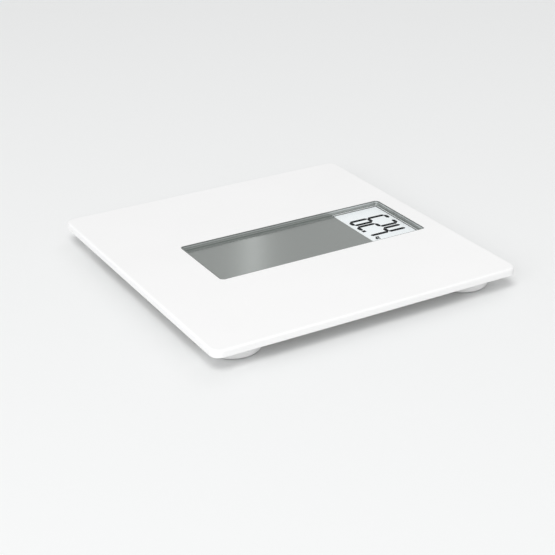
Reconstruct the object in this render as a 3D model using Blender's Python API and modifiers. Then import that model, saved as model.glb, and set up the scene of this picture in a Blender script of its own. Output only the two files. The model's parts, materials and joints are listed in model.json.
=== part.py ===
"""A square bathroom scale: a moulded tread deck with a sunk steel panel and a liquid-crystal display,
on a base cover that carries four load cells, each standing on its own round foot.

Metres. X runs to the user's right, Y towards the display end, Z up from the floor.
"""

import math

import bmesh
import bpy
from mathutils import Matrix, Vector

# Driving sizes of the whole scale
DECK_WIDTH = 0.300
DECK_DEPTH = 0.300
SCALE_HEIGHT = 0.021
DECK_EDGE_HEIGHT = 0.0068
DECK_WALL = 0.0025
DECK_CORNER = 0.009

# The window in the deck, with the steel panel and the display in it
WINDOW_WIDTH = 0.080
WINDOW_FRONT_INSET = 0.0657
WINDOW_BACK_INSET = 0.0188
WINDOW_CORNER = 0.004
PANEL_DEPTH = 0.004
SHEET = 0.0006

# The part of the panel that is open over the display
DISPLAY_LENGTH = 0.0512
DISPLAY_SIDE_MARGIN = 0.0017
DISPLAY_BACK_MARGIN = 0.0025

# The feet, each on a load cell, and the base that holds them
FOOT_INSET = 0.035
FOOT_RADIUS = 0.024
FOOT_TRAVEL = 0.0005
BASE_INSET = 0.020
BASE_CLEARANCE = 0.0056
BASE_WALL = 0.0018
BASE_CORNER = 0.024

# Clearances and finish
GAP = 0.0003
RUNNING_GAP = 0.0008
OVERRUN = 0.002
MERGE_DISTANCE = 0.00001
ROUND_STEPS = 24
SMALL_STEPS = 12
HOLE_STEPS = 8
CORNER_STEPS = 4
EDGE_STEPS = 2
SHARP_ANGLE = math.radians(35)

DECK_TOP = SCALE_HEIGHT
DECK_UNDERSIDE = DECK_TOP - DECK_WALL
DECK_LIP = DECK_TOP - DECK_EDGE_HEIGHT
PANEL_TOP = DECK_TOP - PANEL_DEPTH
PANEL_BOTTOM = PANEL_TOP - SHEET
BASE_BOTTOM = BASE_CLEARANCE
FLOOR_TOP = BASE_BOTTOM + BASE_WALL
WINDOW_FRONT = WINDOW_FRONT_INSET - DECK_DEPTH / 2
WINDOW_BACK = DECK_DEPTH / 2 - WINDOW_BACK_INSET
WINDOW_MIDDLE = (WINDOW_FRONT + WINDOW_BACK) / 2
WINDOW_LENGTH = WINDOW_BACK - WINDOW_FRONT
DISPLAY_WIDTH = WINDOW_WIDTH - 2 * DISPLAY_SIDE_MARGIN
DISPLAY_BACK = WINDOW_BACK - DISPLAY_BACK_MARGIN
DISPLAY_FRONT = DISPLAY_BACK - DISPLAY_LENGTH
DISPLAY_MIDDLE = (DISPLAY_FRONT + DISPLAY_BACK) / 2
CORNERS = {"front_left": (-1, -1), "front_right": (1, -1), "back_left": (-1, 1), "back_right": (1, 1)}
FOOT_X = DECK_WIDTH / 2 - FOOT_INSET
FOOT_Y = DECK_DEPTH / 2 - FOOT_INSET

for old in list(bpy.data.objects):
    bpy.data.objects.remove(old)


def new_collection(name):
    made = bpy.data.collections.new(name)
    bpy.context.scene.collection.children.link(made)
    return made


PIECES = new_collection("bathroom_scale")
FORMERS = new_collection("formers")


def material(name, colour, roughness, metallic=0.0):
    made = bpy.data.materials.new(name)
    made.use_nodes = True
    made.diffuse_color = (*colour, 1.0)
    shader = next(n for n in made.node_tree.nodes if n.type == "BSDF_PRINCIPLED")
    shader.inputs["Base Color"].default_value = (*colour, 1.0)
    shader.inputs["Roughness"].default_value = roughness
    shader.inputs["Metallic"].default_value = metallic
    return made


WHITE_PLASTIC = material("white_plastic", (0.88, 0.88, 0.88), 0.35)
COVER_PLASTIC = material("cover_plastic", (0.80, 0.80, 0.80), 0.5)
BRUSHED_STEEL = material("brushed_steel", (0.50, 0.52, 0.51), 0.35, 1.0)
SPRING_STEEL = material("spring_steel", (0.42, 0.42, 0.43), 0.3, 1.0)
CLEAR_PLASTIC = material("clear_plastic", (0.85, 0.90, 0.92), 0.05)
DISPLAY_GLASS = material("display_glass", (0.78, 0.83, 0.87), 0.2)
GREEN_BOARD = material("green_board", (0.02, 0.16, 0.06), 0.4)
BLACK_PLASTIC = material("black_plastic", (0.02, 0.02, 0.02), 0.5)
GAUGE_FILM = material("gauge_film", (0.75, 0.42, 0.08), 0.4)
GREY_RUBBER = material("grey_rubber", (0.62, 0.63, 0.63), 0.8)
LEAD_SHEATH = material("lead_sheath", (0.10, 0.10, 0.10), 0.5)


def add(name, mesh, look=None, parent=None):
    """Puts a mesh in the scene: a piece where it has a look, and otherwise a former for a Boolean."""
    obj = bpy.data.objects.new(name, mesh)
    if look:
        PIECES.objects.link(obj)
        if not mesh.materials:
            mesh.materials.append(look)
    else:
        FORMERS.objects.link(obj)
        obj.hide_render = True
        obj.display_type = "WIRE"
    obj.parent = parent
    return obj


def shade_round(mesh):
    mesh.shade_smooth()
    mesh.set_sharp_from_angle(angle=SHARP_ANGLE)


def level_edges(made, height):
    return [e for e in made.edges if all(abs(v.co.z - height) < MERGE_DISTANCE for v in e.verts)]


def block(name, size, at, look=None, parent=None, corner=0, top_edge=0, bottom_edge=0, steps=CORNER_STEPS):
    """A box that stands on the middle of its base at a place, with rounded corners and edges."""
    made = bmesh.new()
    bmesh.ops.create_cube(made, size=1)
    bmesh.ops.translate(made, vec=(0, 0, 1 / 2), verts=made.verts)
    bmesh.ops.scale(made, vec=size, verts=made.verts)
    if corner:
        upright = [e for e in made.edges if abs(e.verts[0].co.z - e.verts[1].co.z) > size[2] / 2]
        bmesh.ops.bevel(made, geom=upright, offset=corner, segments=steps, profile=0.5, affect="EDGES")
    for height, radius in ((size[2], top_edge), (0, bottom_edge)):
        if radius:
            edge = level_edges(made, height)
            bmesh.ops.bevel(made, geom=edge, offset=radius, segments=EDGE_STEPS, profile=0.5, affect="EDGES")
    mesh = bpy.data.meshes.new(name)
    made.to_mesh(mesh)
    made.free()
    if corner:
        shade_round(mesh)
    obj = add(name, mesh, look, parent)
    obj.location = at
    return obj


def open_shell(name, size, at, wall, look, corner, inner_edge):
    """A box with no lid, of one wall thickness all over, measured inwards from its outside."""
    obj = block(name, size, at, look, corner=corner, bottom_edge=wall + inner_edge)
    made = bmesh.new()
    made.from_mesh(obj.data)
    lid = [f for f in made.faces if all(abs(v.co.z - size[2]) < MERGE_DISTANCE for v in f.verts)]
    bmesh.ops.delete(made, geom=lid, context="FACES")
    made.to_mesh(obj.data)
    made.free()
    shell = obj.modifiers.new("Wall", "SOLIDIFY")
    shell.thickness = wall
    shell.offset = -1
    shell.use_even_offset = True
    return obj


def post(name, radius, height, at, look=None, parent=None, steps=SMALL_STEPS):
    """A cylinder that stands on the middle of its base at a place."""
    made = bmesh.new()
    bmesh.ops.create_cone(made, cap_ends=True, segments=steps, radius1=radius, radius2=radius, depth=height)
    bmesh.ops.translate(made, vec=(0, 0, height / 2), verts=made.verts)
    mesh = bpy.data.meshes.new(name)
    made.to_mesh(mesh)
    made.free()
    shade_round(mesh)
    obj = add(name, mesh, look, parent)
    obj.location = at
    return obj


def turned(name, profile, look=None, parent=None, steps=ROUND_STEPS):
    """A turned shape. Its profile of (radius, height) points runs down the outer side from the top."""
    mesh = bpy.data.meshes.new(name)
    points = [(radius, 0, height) for radius, height in profile]
    mesh.from_pydata(points, [(i, i + 1) for i in range(len(points) - 1)], [])
    obj = add(name, mesh, look, parent)
    turn = obj.modifiers.new("Turn", "SCREW")
    turn.steps = turn.render_steps = steps
    turn.use_merge_vertices = True
    turn.merge_threshold = MERGE_DISTANCE
    return obj


def rounding(centre_radius, centre_height, radius, first, last, count=3):
    """Points on an arc of a turned profile, from one angle to another, in degrees from straight out."""
    angles = [math.radians(first + (last - first) * i / count) for i in range(count + 1)]
    return [(centre_radius + radius * math.cos(a), centre_height + radius * math.sin(a)) for a in angles]


def boolean(obj, other, operation):
    step = obj.modifiers.new(other.name, "BOOLEAN")
    step.operation = operation
    step.object = other
    step.solver = "EXACT"


def cut(obj, *cutters):
    for cutter in cutters:
        boolean(obj, cutter, "DIFFERENCE")


def join(obj, *others):
    for other in others:
        boolean(obj, other, "UNION")


def empty_at(name, at):
    obj = bpy.data.objects.new(name, None)
    PIECES.objects.link(obj)
    obj.location = at
    return obj


def final_mesh(obj, name):
    """The mesh that a former's modifiers make, where it stands, for pieces that are used several times."""
    graph = bpy.context.evaluated_depsgraph_get()
    mesh = bpy.data.meshes.new_from_object(obj.evaluated_get(graph))
    mesh.transform(obj.matrix_basis)
    mesh.name = name
    shade_round(mesh)
    return mesh


# Heights inside the scale, worked out from the deck downwards
RIB_HEIGHT = 0.0033
RIB = 0.0016
RIBS_PER_SIDE = 4
PAN_FLOOR = 0.0012
RIB_BOTTOM = DECK_UNDERSIDE - RIB_HEIGHT
RIM_TOP = RIB_BOTTOM - GAP
PAN_TOP = PANEL_BOTTOM - GAP
PAN_BOTTOM = PAN_TOP - PAN_FLOOR

# Screws that hold the base cover to bosses on the deck's ribs
SCREW_INSET = 0.010
SCREW_SHANK = 0.0015
SCREW_HEAD = 0.0029
SCREW_HEAD_HEIGHT = 0.0013
SCREW_LENGTH = 0.010
BOSS_WALL = 0.0017
WELL_WALL = 0.0018
WELL_HEIGHT = 0.0034
SCREW_ROW_X = DECK_WIDTH / 2 - BASE_INSET - SCREW_INSET
SCREW_ROW_Y = DECK_DEPTH / 2 - BASE_INSET - SCREW_INSET
RIB_PITCH_X = SCREW_ROW_X / RIBS_PER_SIDE
RIB_PITCH_Y = SCREW_ROW_Y / RIBS_PER_SIDE
WELL_TOP = BASE_BOTTOM + WELL_HEIGHT
WELL_CEILING = BASE_BOTTOM + GAP + SCREW_HEAD_HEIGHT + GAP
BOSS_RADIUS = SCREW_SHANK + GAP + BOSS_WALL

# Display screws, up through the display frame's ears into short bosses beside the window
PIN_SHANK = 0.0009
PIN_HEAD = 0.0018
PIN_HEAD_HEIGHT = 0.0011
PIN_LENGTH = 0.0035
EAR_RADIUS = 0.0032
EAR_SPACING = 0.030
PAN_WALL = 0.002
LENS_LAP = 0.0006
EAR_X = WINDOW_WIDTH / 2 + PAN_WALL + EAR_RADIUS
EAR_PLACES = [(x * EAR_X, DISPLAY_MIDDLE + y * EAR_SPACING / 2) for x, y in CORNERS.values()]

# The load cell's seat stands in a round pocket of the base cover, over each foot
POCKET_RADIUS = FOOT_RADIUS + RUNNING_GAP
POCKET_WALL = 0.002
TUBE_RADIUS = POCKET_RADIUS + POCKET_WALL
SCREW_X = (EAR_X + EAR_RADIUS + FOOT_X - TUBE_RADIUS) / 2
SCREW_PLACES = [(x * SCREW_X, y * SCREW_ROW_Y) for x, y in CORNERS.values()]
SCREW_PLACES += [(x * SCREW_ROW_X, y * SCREW_ROW_Y / 2) for x, y in CORNERS.values()]


# Deck: one moulding with a downturned edge, a sunk pan for the steel panel, ribs and screw bosses
DECK_TOP_EDGE = 0.0018
DECK_BOTTOM_EDGE = 0.0006
APERTURE_CORNER = 0.0015


def deck_ribs():
    """The rib grid under the deck, open over each load cell's seat."""
    grid = None
    height = RIB_HEIGHT + DECK_WALL / 2
    clear = WINDOW_WIDTH / 2 + PAN_WALL
    for length, breadth, pitch, along_y in ((DECK_DEPTH, DECK_WIDTH, RIB_PITCH_X, True),
                                            (DECK_WIDTH, DECK_DEPTH, RIB_PITCH_Y, False)):
        reach = int((breadth / 2 - DECK_WALL) / pitch)
        for i in range(-reach, reach + 1):
            if along_y and abs(i * pitch) < clear:
                continue
            size = (RIB, length - DECK_WALL, height) if along_y else (length - DECK_WALL, RIB, height)
            at = (i * pitch, 0, RIB_BOTTOM) if along_y else (0, i * pitch, RIB_BOTTOM)
            rib = block(f"deck_rib_{'y' if along_y else 'x'}_{i + reach}", size, at)
            if grid:
                join(grid, rib)
            else:
                grid = rib
    for corner, (x, y) in CORNERS.items():
        room = post(f"rib_room_{corner}", POCKET_RADIUS, height + 2 * OVERRUN,
                    (x * FOOT_X, y * FOOT_Y, RIB_BOTTOM - OVERRUN), steps=ROUND_STEPS)
        cut(grid, room)
    return grid


def make_deck():
    deck = block("deck", (DECK_WIDTH, DECK_DEPTH, DECK_EDGE_HEIGHT), (0, 0, DECK_LIP), WHITE_PLASTIC,
                 corner=DECK_CORNER, top_edge=DECK_TOP_EDGE, bottom_edge=DECK_BOTTOM_EDGE)
    hollow = block("deck_hollow",
                   (DECK_WIDTH - 2 * DECK_WALL, DECK_DEPTH - 2 * DECK_WALL,
                    DECK_UNDERSIDE - DECK_LIP + OVERRUN),
                   (0, 0, DECK_LIP - OVERRUN), corner=DECK_CORNER - DECK_WALL)
    cut(deck, hollow)
    pan = block("deck_pan",
                (WINDOW_WIDTH + 2 * PAN_WALL, WINDOW_LENGTH + 2 * PAN_WALL,
                 DECK_UNDERSIDE - PAN_BOTTOM + DECK_WALL / 2),
                (0, WINDOW_MIDDLE, PAN_BOTTOM), corner=WINDOW_CORNER + PAN_WALL)
    join(deck, deck_ribs(), pan)
    for number, (x, y) in enumerate(SCREW_PLACES, 1):
        bottom = WELL_TOP + GAP
        join(deck, post(f"deck_boss_{number}", BOSS_RADIUS, DECK_UNDERSIDE - bottom + DECK_WALL / 2,
                        (x, y, bottom)))
        cut(deck, post(f"deck_boss_hole_{number}", SCREW_SHANK + GAP,
                       OVERRUN + SCREW_LENGTH - (bottom - WELL_CEILING), (x, y, bottom - OVERRUN),
                       steps=HOLE_STEPS))
    for number, (x, y) in enumerate(EAR_PLACES, 1):
        join(deck, post(f"display_boss_{number}", EAR_RADIUS, DECK_UNDERSIDE - PAN_BOTTOM + DECK_WALL / 2,
                        (x, y, PAN_BOTTOM)))
        cut(deck, post(f"display_boss_hole_{number}", PIN_SHANK + GAP, OVERRUN + PIN_LENGTH,
                       (x, y, PAN_BOTTOM - OVERRUN), steps=HOLE_STEPS))
    window = block("deck_window", (WINDOW_WIDTH, WINDOW_LENGTH, DECK_TOP - PAN_TOP + OVERRUN),
                   (0, WINDOW_MIDDLE, PAN_TOP), corner=WINDOW_CORNER)
    aperture = block("deck_aperture",
                     (DISPLAY_WIDTH + 2 * (LENS_LAP + GAP), DISPLAY_LENGTH + 2 * (LENS_LAP + GAP),
                      PAN_FLOOR + 2 * OVERRUN),
                     (0, DISPLAY_MIDDLE, PAN_BOTTOM - OVERRUN), corner=APERTURE_CORNER)
    cut(deck, window, aperture)
    return deck


# Inlay tray: brushed steel sheet, folded up round its rim and open over the display
TRAY_FOLD = 0.0003
TRAY_RIM_DROP = 0.0003


def make_inlay_tray():
    size = (WINDOW_WIDTH - 2 * GAP, WINDOW_LENGTH - 2 * GAP, DECK_TOP - TRAY_RIM_DROP - PANEL_BOTTOM)
    tray = open_shell("inlay_tray", size, (0, WINDOW_MIDDLE, PANEL_BOTTOM), SHEET, BRUSHED_STEEL,
                      corner=WINDOW_CORNER - GAP, inner_edge=TRAY_FOLD)
    opening = block("inlay_opening", (DISPLAY_WIDTH, DISPLAY_LENGTH, SHEET + 2 * OVERRUN),
                    (0, DISPLAY_MIDDLE, PANEL_BOTTOM - OVERRUN), corner=APERTURE_CORNER - LENS_LAP)
    cut(tray, opening)
    return tray


# Display stack: a clear lens in the deck's aperture, the display glass, and the guide that lights it
LENS = 0.0008
GLASS = 0.0014
GUIDE = 0.0015
GLASS_MARGIN = 0.0002
LENS_CORNER = APERTURE_CORNER - GAP
LENS_BOTTOM = PAN_TOP - LENS - GAP / 2
GLASS_TOP = LENS_BOTTOM - GAP
GLASS_BOTTOM = GLASS_TOP - GLASS
GUIDE_TOP = GLASS_BOTTOM - GAP
GUIDE_BOTTOM = GUIDE_TOP - GUIDE
GLASS_WIDTH = DISPLAY_WIDTH + 2 * GLASS_MARGIN
GLASS_LENGTH = DISPLAY_LENGTH + 2 * GLASS_MARGIN
RIBBON = 0.0004
RIBBON_WIDTH = 0.044
RIBBON_TAB = 0.0025
RIBBON_TOP = GLASS_BOTTOM - GAP
RIBBON_BACK = DISPLAY_FRONT - GLASS_MARGIN + RIBBON_TAB


def make_display_lens():
    return block("display_lens", (DISPLAY_WIDTH + 2 * LENS_LAP, DISPLAY_LENGTH + 2 * LENS_LAP, LENS),
                 (0, DISPLAY_MIDDLE, LENS_BOTTOM), CLEAR_PLASTIC, corner=LENS_CORNER)


def make_display_glass():
    return block("display_glass", (GLASS_WIDTH, GLASS_LENGTH, GLASS), (0, DISPLAY_MIDDLE, GLASS_BOTTOM),
                 DISPLAY_GLASS)


def make_backlight_guide():
    front = RIBBON_BACK + GAP
    back = DISPLAY_BACK + GLASS_MARGIN
    return block("backlight_guide", (GLASS_WIDTH, back - front, GUIDE), (0, (front + back) / 2, GUIDE_BOTTOM),
                 CLEAR_PLASTIC)


# Display frame: a moulded tray that carries the guide and the glass, on four ears
FRAME_FLOOR = 0.0014
FRAME_WALL = 0.0017
FRAME_TOP = PAN_BOTTOM - GAP
FRAME_BOTTOM = GUIDE_BOTTOM - GAP - FRAME_FLOOR
EAR = 0.0017
EAR_WAIST_SHARE = 0.85
FRAME_OUTER_WIDTH = GLASS_WIDTH + 2 * (GAP + FRAME_WALL)
FRAME_OUTER_LENGTH = GLASS_LENGTH + 2 * (GAP + FRAME_WALL)


def make_display_frame():
    frame = block("display_frame", (FRAME_OUTER_WIDTH, FRAME_OUTER_LENGTH, FRAME_TOP - FRAME_BOTTOM),
                  (0, DISPLAY_MIDDLE, FRAME_BOTTOM), BLACK_PLASTIC, corner=FRAME_WALL)
    for number, (x, y) in enumerate(EAR_PLACES, 1):
        inner = FRAME_OUTER_WIDTH / 2 - FRAME_WALL / 2
        outer = abs(x) + EAR_RADIUS / 3
        middle = math.copysign((inner + outer) / 2, x)
        ear = block(f"display_ear_{number}", (outer - inner, 2 * EAR_RADIUS * EAR_WAIST_SHARE, EAR),
                    (middle, y, FRAME_TOP - EAR))
        tip = post(f"display_ear_tip_{number}", EAR_RADIUS, EAR, (x, y, FRAME_TOP - EAR))
        join(frame, ear, tip)
        cut(frame, post(f"display_ear_hole_{number}", PIN_SHANK + GAP, EAR + 2 * OVERRUN,
                        (x, y, FRAME_TOP - EAR - OVERRUN), steps=HOLE_STEPS))
    bed = block("display_bed", (GLASS_WIDTH + 2 * GAP, GLASS_LENGTH + 2 * GAP, FRAME_TOP - GUIDE_BOTTOM + OVERRUN),
                (0, DISPLAY_MIDDLE, GUIDE_BOTTOM - GAP))
    mouth = block("ribbon_mouth", (RIBBON_WIDTH + 2 * GAP, FRAME_WALL + 2 * OVERRUN, FRAME_TOP - RIBBON_TOP + OVERRUN
                                   + RIBBON + GAP),
                  (0, DISPLAY_MIDDLE - FRAME_OUTER_LENGTH / 2 + FRAME_WALL / 2, RIBBON_TOP - RIBBON - GAP))
    cut(frame, bed, mouth)
    return frame


# Main board: on posts of the base cover, with its chip, the unit switch and the display's ribbon
BOARD_WIDTH = 0.070
BOARD_LENGTH = 0.0467
BOARD = 0.0012
BOARD_LAP = 0.004
BOARD_CORNER = 0.0015
BOARD_POST_INSET = 0.004
BOARD_POST_RADIUS = 0.0028
BOARD_SCREWED = (1, 4)
BOARD_HOLE_DEPTH = 0.0028
BOARD_PIN_PROUD = 0.0006
BOARD_TOP = RIBBON_TOP - RIBBON - GAP
BOARD_BOTTOM = BOARD_TOP - BOARD
BOARD_BACK = DISPLAY_MIDDLE - FRAME_OUTER_LENGTH / 2 - 2 * GAP
BOARD_FRONT = BOARD_BACK - BOARD_LENGTH
BOARD_MIDDLE = (BOARD_FRONT + BOARD_BACK) / 2
BOARD_PLACES = [(x * (BOARD_WIDTH / 2 - BOARD_POST_INSET),
                 BOARD_MIDDLE + y * (BOARD_LENGTH / 2 - BOARD_POST_INSET))
                for x, y in CORNERS.values()]
CHIP = 0.009
CHIP_HEIGHT = 0.001
CHIP_SHARES = (0.30, 0.62)


def make_main_board():
    board = block("main_board", (BOARD_WIDTH, BOARD_LENGTH, BOARD), (0, BOARD_MIDDLE, BOARD_BOTTOM),
                  GREEN_BOARD, corner=BOARD_CORNER, steps=3)
    for number, (x, y) in enumerate(BOARD_PLACES, 1):
        cut(board, post(f"board_hole_{number}", PIN_SHANK + GAP, BOARD + 2 * OVERRUN,
                        (x, y, BOARD_BOTTOM - OVERRUN), steps=HOLE_STEPS))
    return board


def make_board_chip():
    across, along = CHIP_SHARES
    at = (BOARD_WIDTH * (across - 1 / 2), BOARD_FRONT + BOARD_LENGTH * along, BOARD_TOP + GAP)
    return block("board_chip", (CHIP, CHIP, CHIP_HEIGHT), at, BLACK_PLASTIC)


def make_display_ribbon():
    front = BOARD_BACK - BOARD_LAP
    return block("display_ribbon", (RIBBON_WIDTH, RIBBON_BACK - front, RIBBON),
                 (0, (front + RIBBON_BACK) / 2, RIBBON_TOP - RIBBON), GAUGE_FILM)


# Battery compartment: the coin cell lies between the door and the two contact springs
CELL_RADIUS = 0.010
CELL_THICKNESS = 0.0032
CELL_EDGE = 0.0005
CELL_SETBACK = 0.028
CONTACT = 0.0004
CONTACT_WIDTH = 0.006
CONTACT_REACH = 0.008
SIDE_CONTACT = 0.008
DOOR_WIDTH = 0.028
DOOR_LENGTH = 0.028
DOOR_GAP = 0.0004
DOOR_CORNER = 0.002
TONGUE = 0.0012
TONGUE_WIDTH = 0.005
TONGUE_REACH = 0.003
TONGUE_ROOT = 0.0016
TONGUE_ROOM = 0.005
TONGUE_SPACING = 0.016
THUMB_LIP = 0.0007
THUMB_LIP_WIDTH = 0.008
THUMB_LIP_REACH = 0.002
THUMB_DISH = 0.006
THUMB_DISH_DEPTH = 0.001
COMPARTMENT_WALL = 0.0015
COMPARTMENT_ROOM = 0.001
CELL_Y = BOARD_FRONT - CELL_SETBACK
DOOR_FRONT = CELL_Y - DOOR_LENGTH / 2
DOOR_BACK = CELL_Y + DOOR_LENGTH / 2
CELL_BOTTOM = FLOOR_TOP + GAP
CELL_TOP = CELL_BOTTOM + CELL_THICKNESS
CONTACT_BOTTOM = CELL_TOP + GAP
COMPARTMENT_CEILING = CONTACT_BOTTOM + CONTACT + GAP
COMPARTMENT_FRONT = DOOR_FRONT - TONGUE_ROOM
COMPARTMENT_BACK = DOOR_BACK + COMPARTMENT_ROOM
COMPARTMENT_WIDTH = DOOR_WIDTH + 2 * COMPARTMENT_ROOM
SIDE_CONTACT_X = CELL_RADIUS + GAP
CONTACT_BACK = BOARD_FRONT - GAP

# Unit button in the base, under the switch on the board
BUTTON_RADIUS = 0.004
BUTTON_FLANGE = 0.0015
BUTTON_FLANGE_HEIGHT = 0.0005
BUTTON_POST_RADIUS = 0.0015
BUTTON_EDGE = 0.0005
BUTTON_PROUD = 0.0003
BUTTON_CLEARANCE = 0.0004
BUTTON_TRAVEL = 0.0005
BUTTON_SHARES = (0.22, 0.40)
SWITCH_WIDTH = 0.006
SWITCH_HEIGHT = 0.0016
PLUNGER_RADIUS = 0.0016
PLUNGER_HEIGHT = 0.0009
PLUNGER_PROUD = 0.0004
BUTTON_X = BOARD_WIDTH * (BUTTON_SHARES[0] - 1 / 2)
BUTTON_Y = BOARD_FRONT + BOARD_LENGTH * BUTTON_SHARES[1]
SWITCH_TOP = BOARD_BOTTOM - GAP
SWITCH_BOTTOM = SWITCH_TOP - SWITCH_HEIGHT
PLUNGER_BOTTOM = SWITCH_BOTTOM - PLUNGER_PROUD

# Each corner from the deck down: the cell's seat, the load cell, the cover's shelf and the foot
LOAD_CELL_SHARE = 1.25
SEAT_WALL = 0.0017
SEAT_HEIGHT = 0.0053
SEAT_LAP = 0.003
SEAT_CORNER = 0.003
LOAD_CELL = 0.002
LOAD_CELL_WIDTH = FOOT_RADIUS * LOAD_CELL_SHARE
SEAT_WIDTH = LOAD_CELL_WIDTH + 2 * (GAP + SEAT_WALL)
SEAT_OPENING = LOAD_CELL_WIDTH - 2 * SEAT_LAP
LOAD_CELL_CORNER = 0.002
SHELF = 0.001
SHELF_OPENING = 0.009
POCKET_SHOULDER = 0.0049
LEAD_RADIUS = 0.0009
LEAD_SLOT = 0.003
SEAT_TOP = DECK_UNDERSIDE - GAP
SEAT_BOTTOM = SEAT_TOP - SEAT_HEIGHT
SHELF_TOP = SEAT_BOTTOM - GAP
SHELF_BOTTOM = SHELF_TOP - SHELF
LOAD_CELL_BOTTOM = SEAT_BOTTOM
LOAD_CELL_TOP = LOAD_CELL_BOTTOM + LOAD_CELL
SEAT_LEDGE = LOAD_CELL_TOP + GAP

# Base cover: a shallow moulded shell with the foot pockets, screw wells, board posts and compartment
BASE_INNER_EDGE = 0.0006
BASE_WIDTH = DECK_WIDTH - 2 * BASE_INSET
BASE_FRONT = BASE_INSET - DECK_DEPTH / 2
BASE_BACK = max(DECK_DEPTH / 2 - BASE_INSET, WINDOW_BACK + PAN_WALL + RUNNING_GAP + BASE_WALL)
BASE_DEPTH = BASE_BACK - BASE_FRONT
BASE_MIDDLE = (BASE_FRONT + BASE_BACK) / 2
FLOOR_MIDDLE = BASE_BOTTOM + BASE_WALL / 2


def pocket_tube(corner, x, y):
    """The round wall of one foot pocket: whole above its shoulder, and inside the cover's outline below."""
    tube = post(f"pocket_tube_{corner}", TUBE_RADIUS, RIM_TOP - FLOOR_MIDDLE, (x, y, FLOOR_MIDDLE),
                steps=ROUND_STEPS)
    trim = block(f"pocket_trim_{corner}",
                 (4 * TUBE_RADIUS, 4 * TUBE_RADIUS, BASE_BOTTOM + POCKET_SHOULDER - FLOOR_MIDDLE + OVERRUN),
                 (x, y, FLOOR_MIDDLE - OVERRUN))
    outline = block(f"pocket_outline_{corner}",
                    (BASE_WIDTH - BASE_WALL, BASE_DEPTH - BASE_WALL, RIM_TOP - BASE_BOTTOM + 2 * OVERRUN),
                    (0, BASE_MIDDLE, BASE_BOTTOM - 2 * OVERRUN), corner=BASE_CORNER - BASE_WALL / 2)
    cut(trim, outline)
    cut(tube, trim)
    return tube


def cover_pockets(cover):
    for corner, (side_x, side_y) in CORNERS.items():
        x, y = side_x * FOOT_X, side_y * FOOT_Y
        join(cover, pocket_tube(corner, x, y))
        cut(cover,
            post(f"foot_room_{corner}", POCKET_RADIUS, SHELF_BOTTOM - BASE_BOTTOM + OVERRUN,
                 (x, y, BASE_BOTTOM - OVERRUN), steps=ROUND_STEPS),
            post(f"seat_room_{corner}", POCKET_RADIUS, RIM_TOP - SHELF_TOP + OVERRUN, (x, y, SHELF_TOP),
                 steps=ROUND_STEPS),
            post(f"shelf_opening_{corner}", SHELF_OPENING, SHELF + 2 * OVERRUN,
                 (x, y, SHELF_BOTTOM - OVERRUN)),
            block(f"lead_slot_{corner}", (POCKET_WALL + 2 * OVERRUN, LEAD_SLOT, RIM_TOP - SHELF_TOP + OVERRUN),
                  (side_x * (FOOT_X - POCKET_RADIUS - POCKET_WALL / 2), y, SHELF_TOP)))


def cover_wells(cover):
    for number, (x, y) in enumerate(SCREW_PLACES, 1):
        head_room = SCREW_HEAD + GAP
        join(cover, post(f"screw_well_{number}", head_room + WELL_WALL, WELL_TOP - FLOOR_MIDDLE,
                         (x, y, FLOOR_MIDDLE)))
        cut(cover,
            post(f"screw_head_room_{number}", head_room, WELL_CEILING - BASE_BOTTOM + OVERRUN,
                 (x, y, BASE_BOTTOM - OVERRUN)),
            post(f"screw_way_{number}", SCREW_SHANK + GAP, WELL_TOP - WELL_CEILING + 2 * OVERRUN,
                 (x, y, WELL_CEILING - OVERRUN), steps=HOLE_STEPS))


def cover_board_posts(cover):
    """Two posts take a screw and two, on the other diagonal, have a pin that places the board."""
    top = BOARD_BOTTOM - GAP
    for number, (x, y) in enumerate(BOARD_PLACES, 1):
        join(cover, post(f"board_post_{number}", BOARD_POST_RADIUS, top - FLOOR_MIDDLE, (x, y, FLOOR_MIDDLE)))
        if number in BOARD_SCREWED:
            cut(cover, post(f"board_post_hole_{number}", PIN_SHANK + GAP, BOARD_HOLE_DEPTH + OVERRUN,
                            (x, y, top - BOARD_HOLE_DEPTH), steps=HOLE_STEPS))
        else:
            join(cover, post(f"board_pin_{number}", PIN_SHANK, BOARD_TOP + BOARD_PIN_PROUD - top + GAP,
                             (x, y, top - GAP), steps=HOLE_STEPS))


def cover_compartment(cover):
    middle_y = (COMPARTMENT_FRONT + COMPARTMENT_BACK) / 2
    length = COMPARTMENT_BACK - COMPARTMENT_FRONT
    join(cover, block("compartment",
                      (COMPARTMENT_WIDTH + 2 * COMPARTMENT_WALL, length + 2 * COMPARTMENT_WALL,
                       COMPARTMENT_CEILING + COMPARTMENT_WALL - FLOOR_MIDDLE),
                      (0, middle_y, FLOOR_MIDDLE), corner=COMPARTMENT_WALL, steps=2))
    slot_height = CONTACT + 2 * GAP
    for name, x, width in (("minus", 0, CONTACT_WIDTH), ("plus", SIDE_CONTACT_X + CONTACT - CONTACT_WIDTH / 2,
                                                         CONTACT_WIDTH)):
        cut(cover, block(f"contact_slot_{name}",
                         (width + 2 * GAP, COMPARTMENT_WALL + 2 * OVERRUN, slot_height),
                         (x, COMPARTMENT_BACK + COMPARTMENT_WALL / 2, CONTACT_BOTTOM - GAP)))
    cut(cover,
        block("compartment_room", (COMPARTMENT_WIDTH, length, COMPARTMENT_CEILING - FLOOR_TOP),
              (0, middle_y, FLOOR_TOP)),
        block("door_opening", (DOOR_WIDTH + 2 * DOOR_GAP, DOOR_LENGTH + 2 * DOOR_GAP, BASE_WALL + 2 * OVERRUN),
              (0, CELL_Y, BASE_BOTTOM - OVERRUN), corner=DOOR_CORNER, steps=3),
        post("thumb_dish", THUMB_DISH, THUMB_DISH_DEPTH + OVERRUN,
             (0, DOOR_BACK, BASE_BOTTOM - OVERRUN), steps=ROUND_STEPS))


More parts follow.
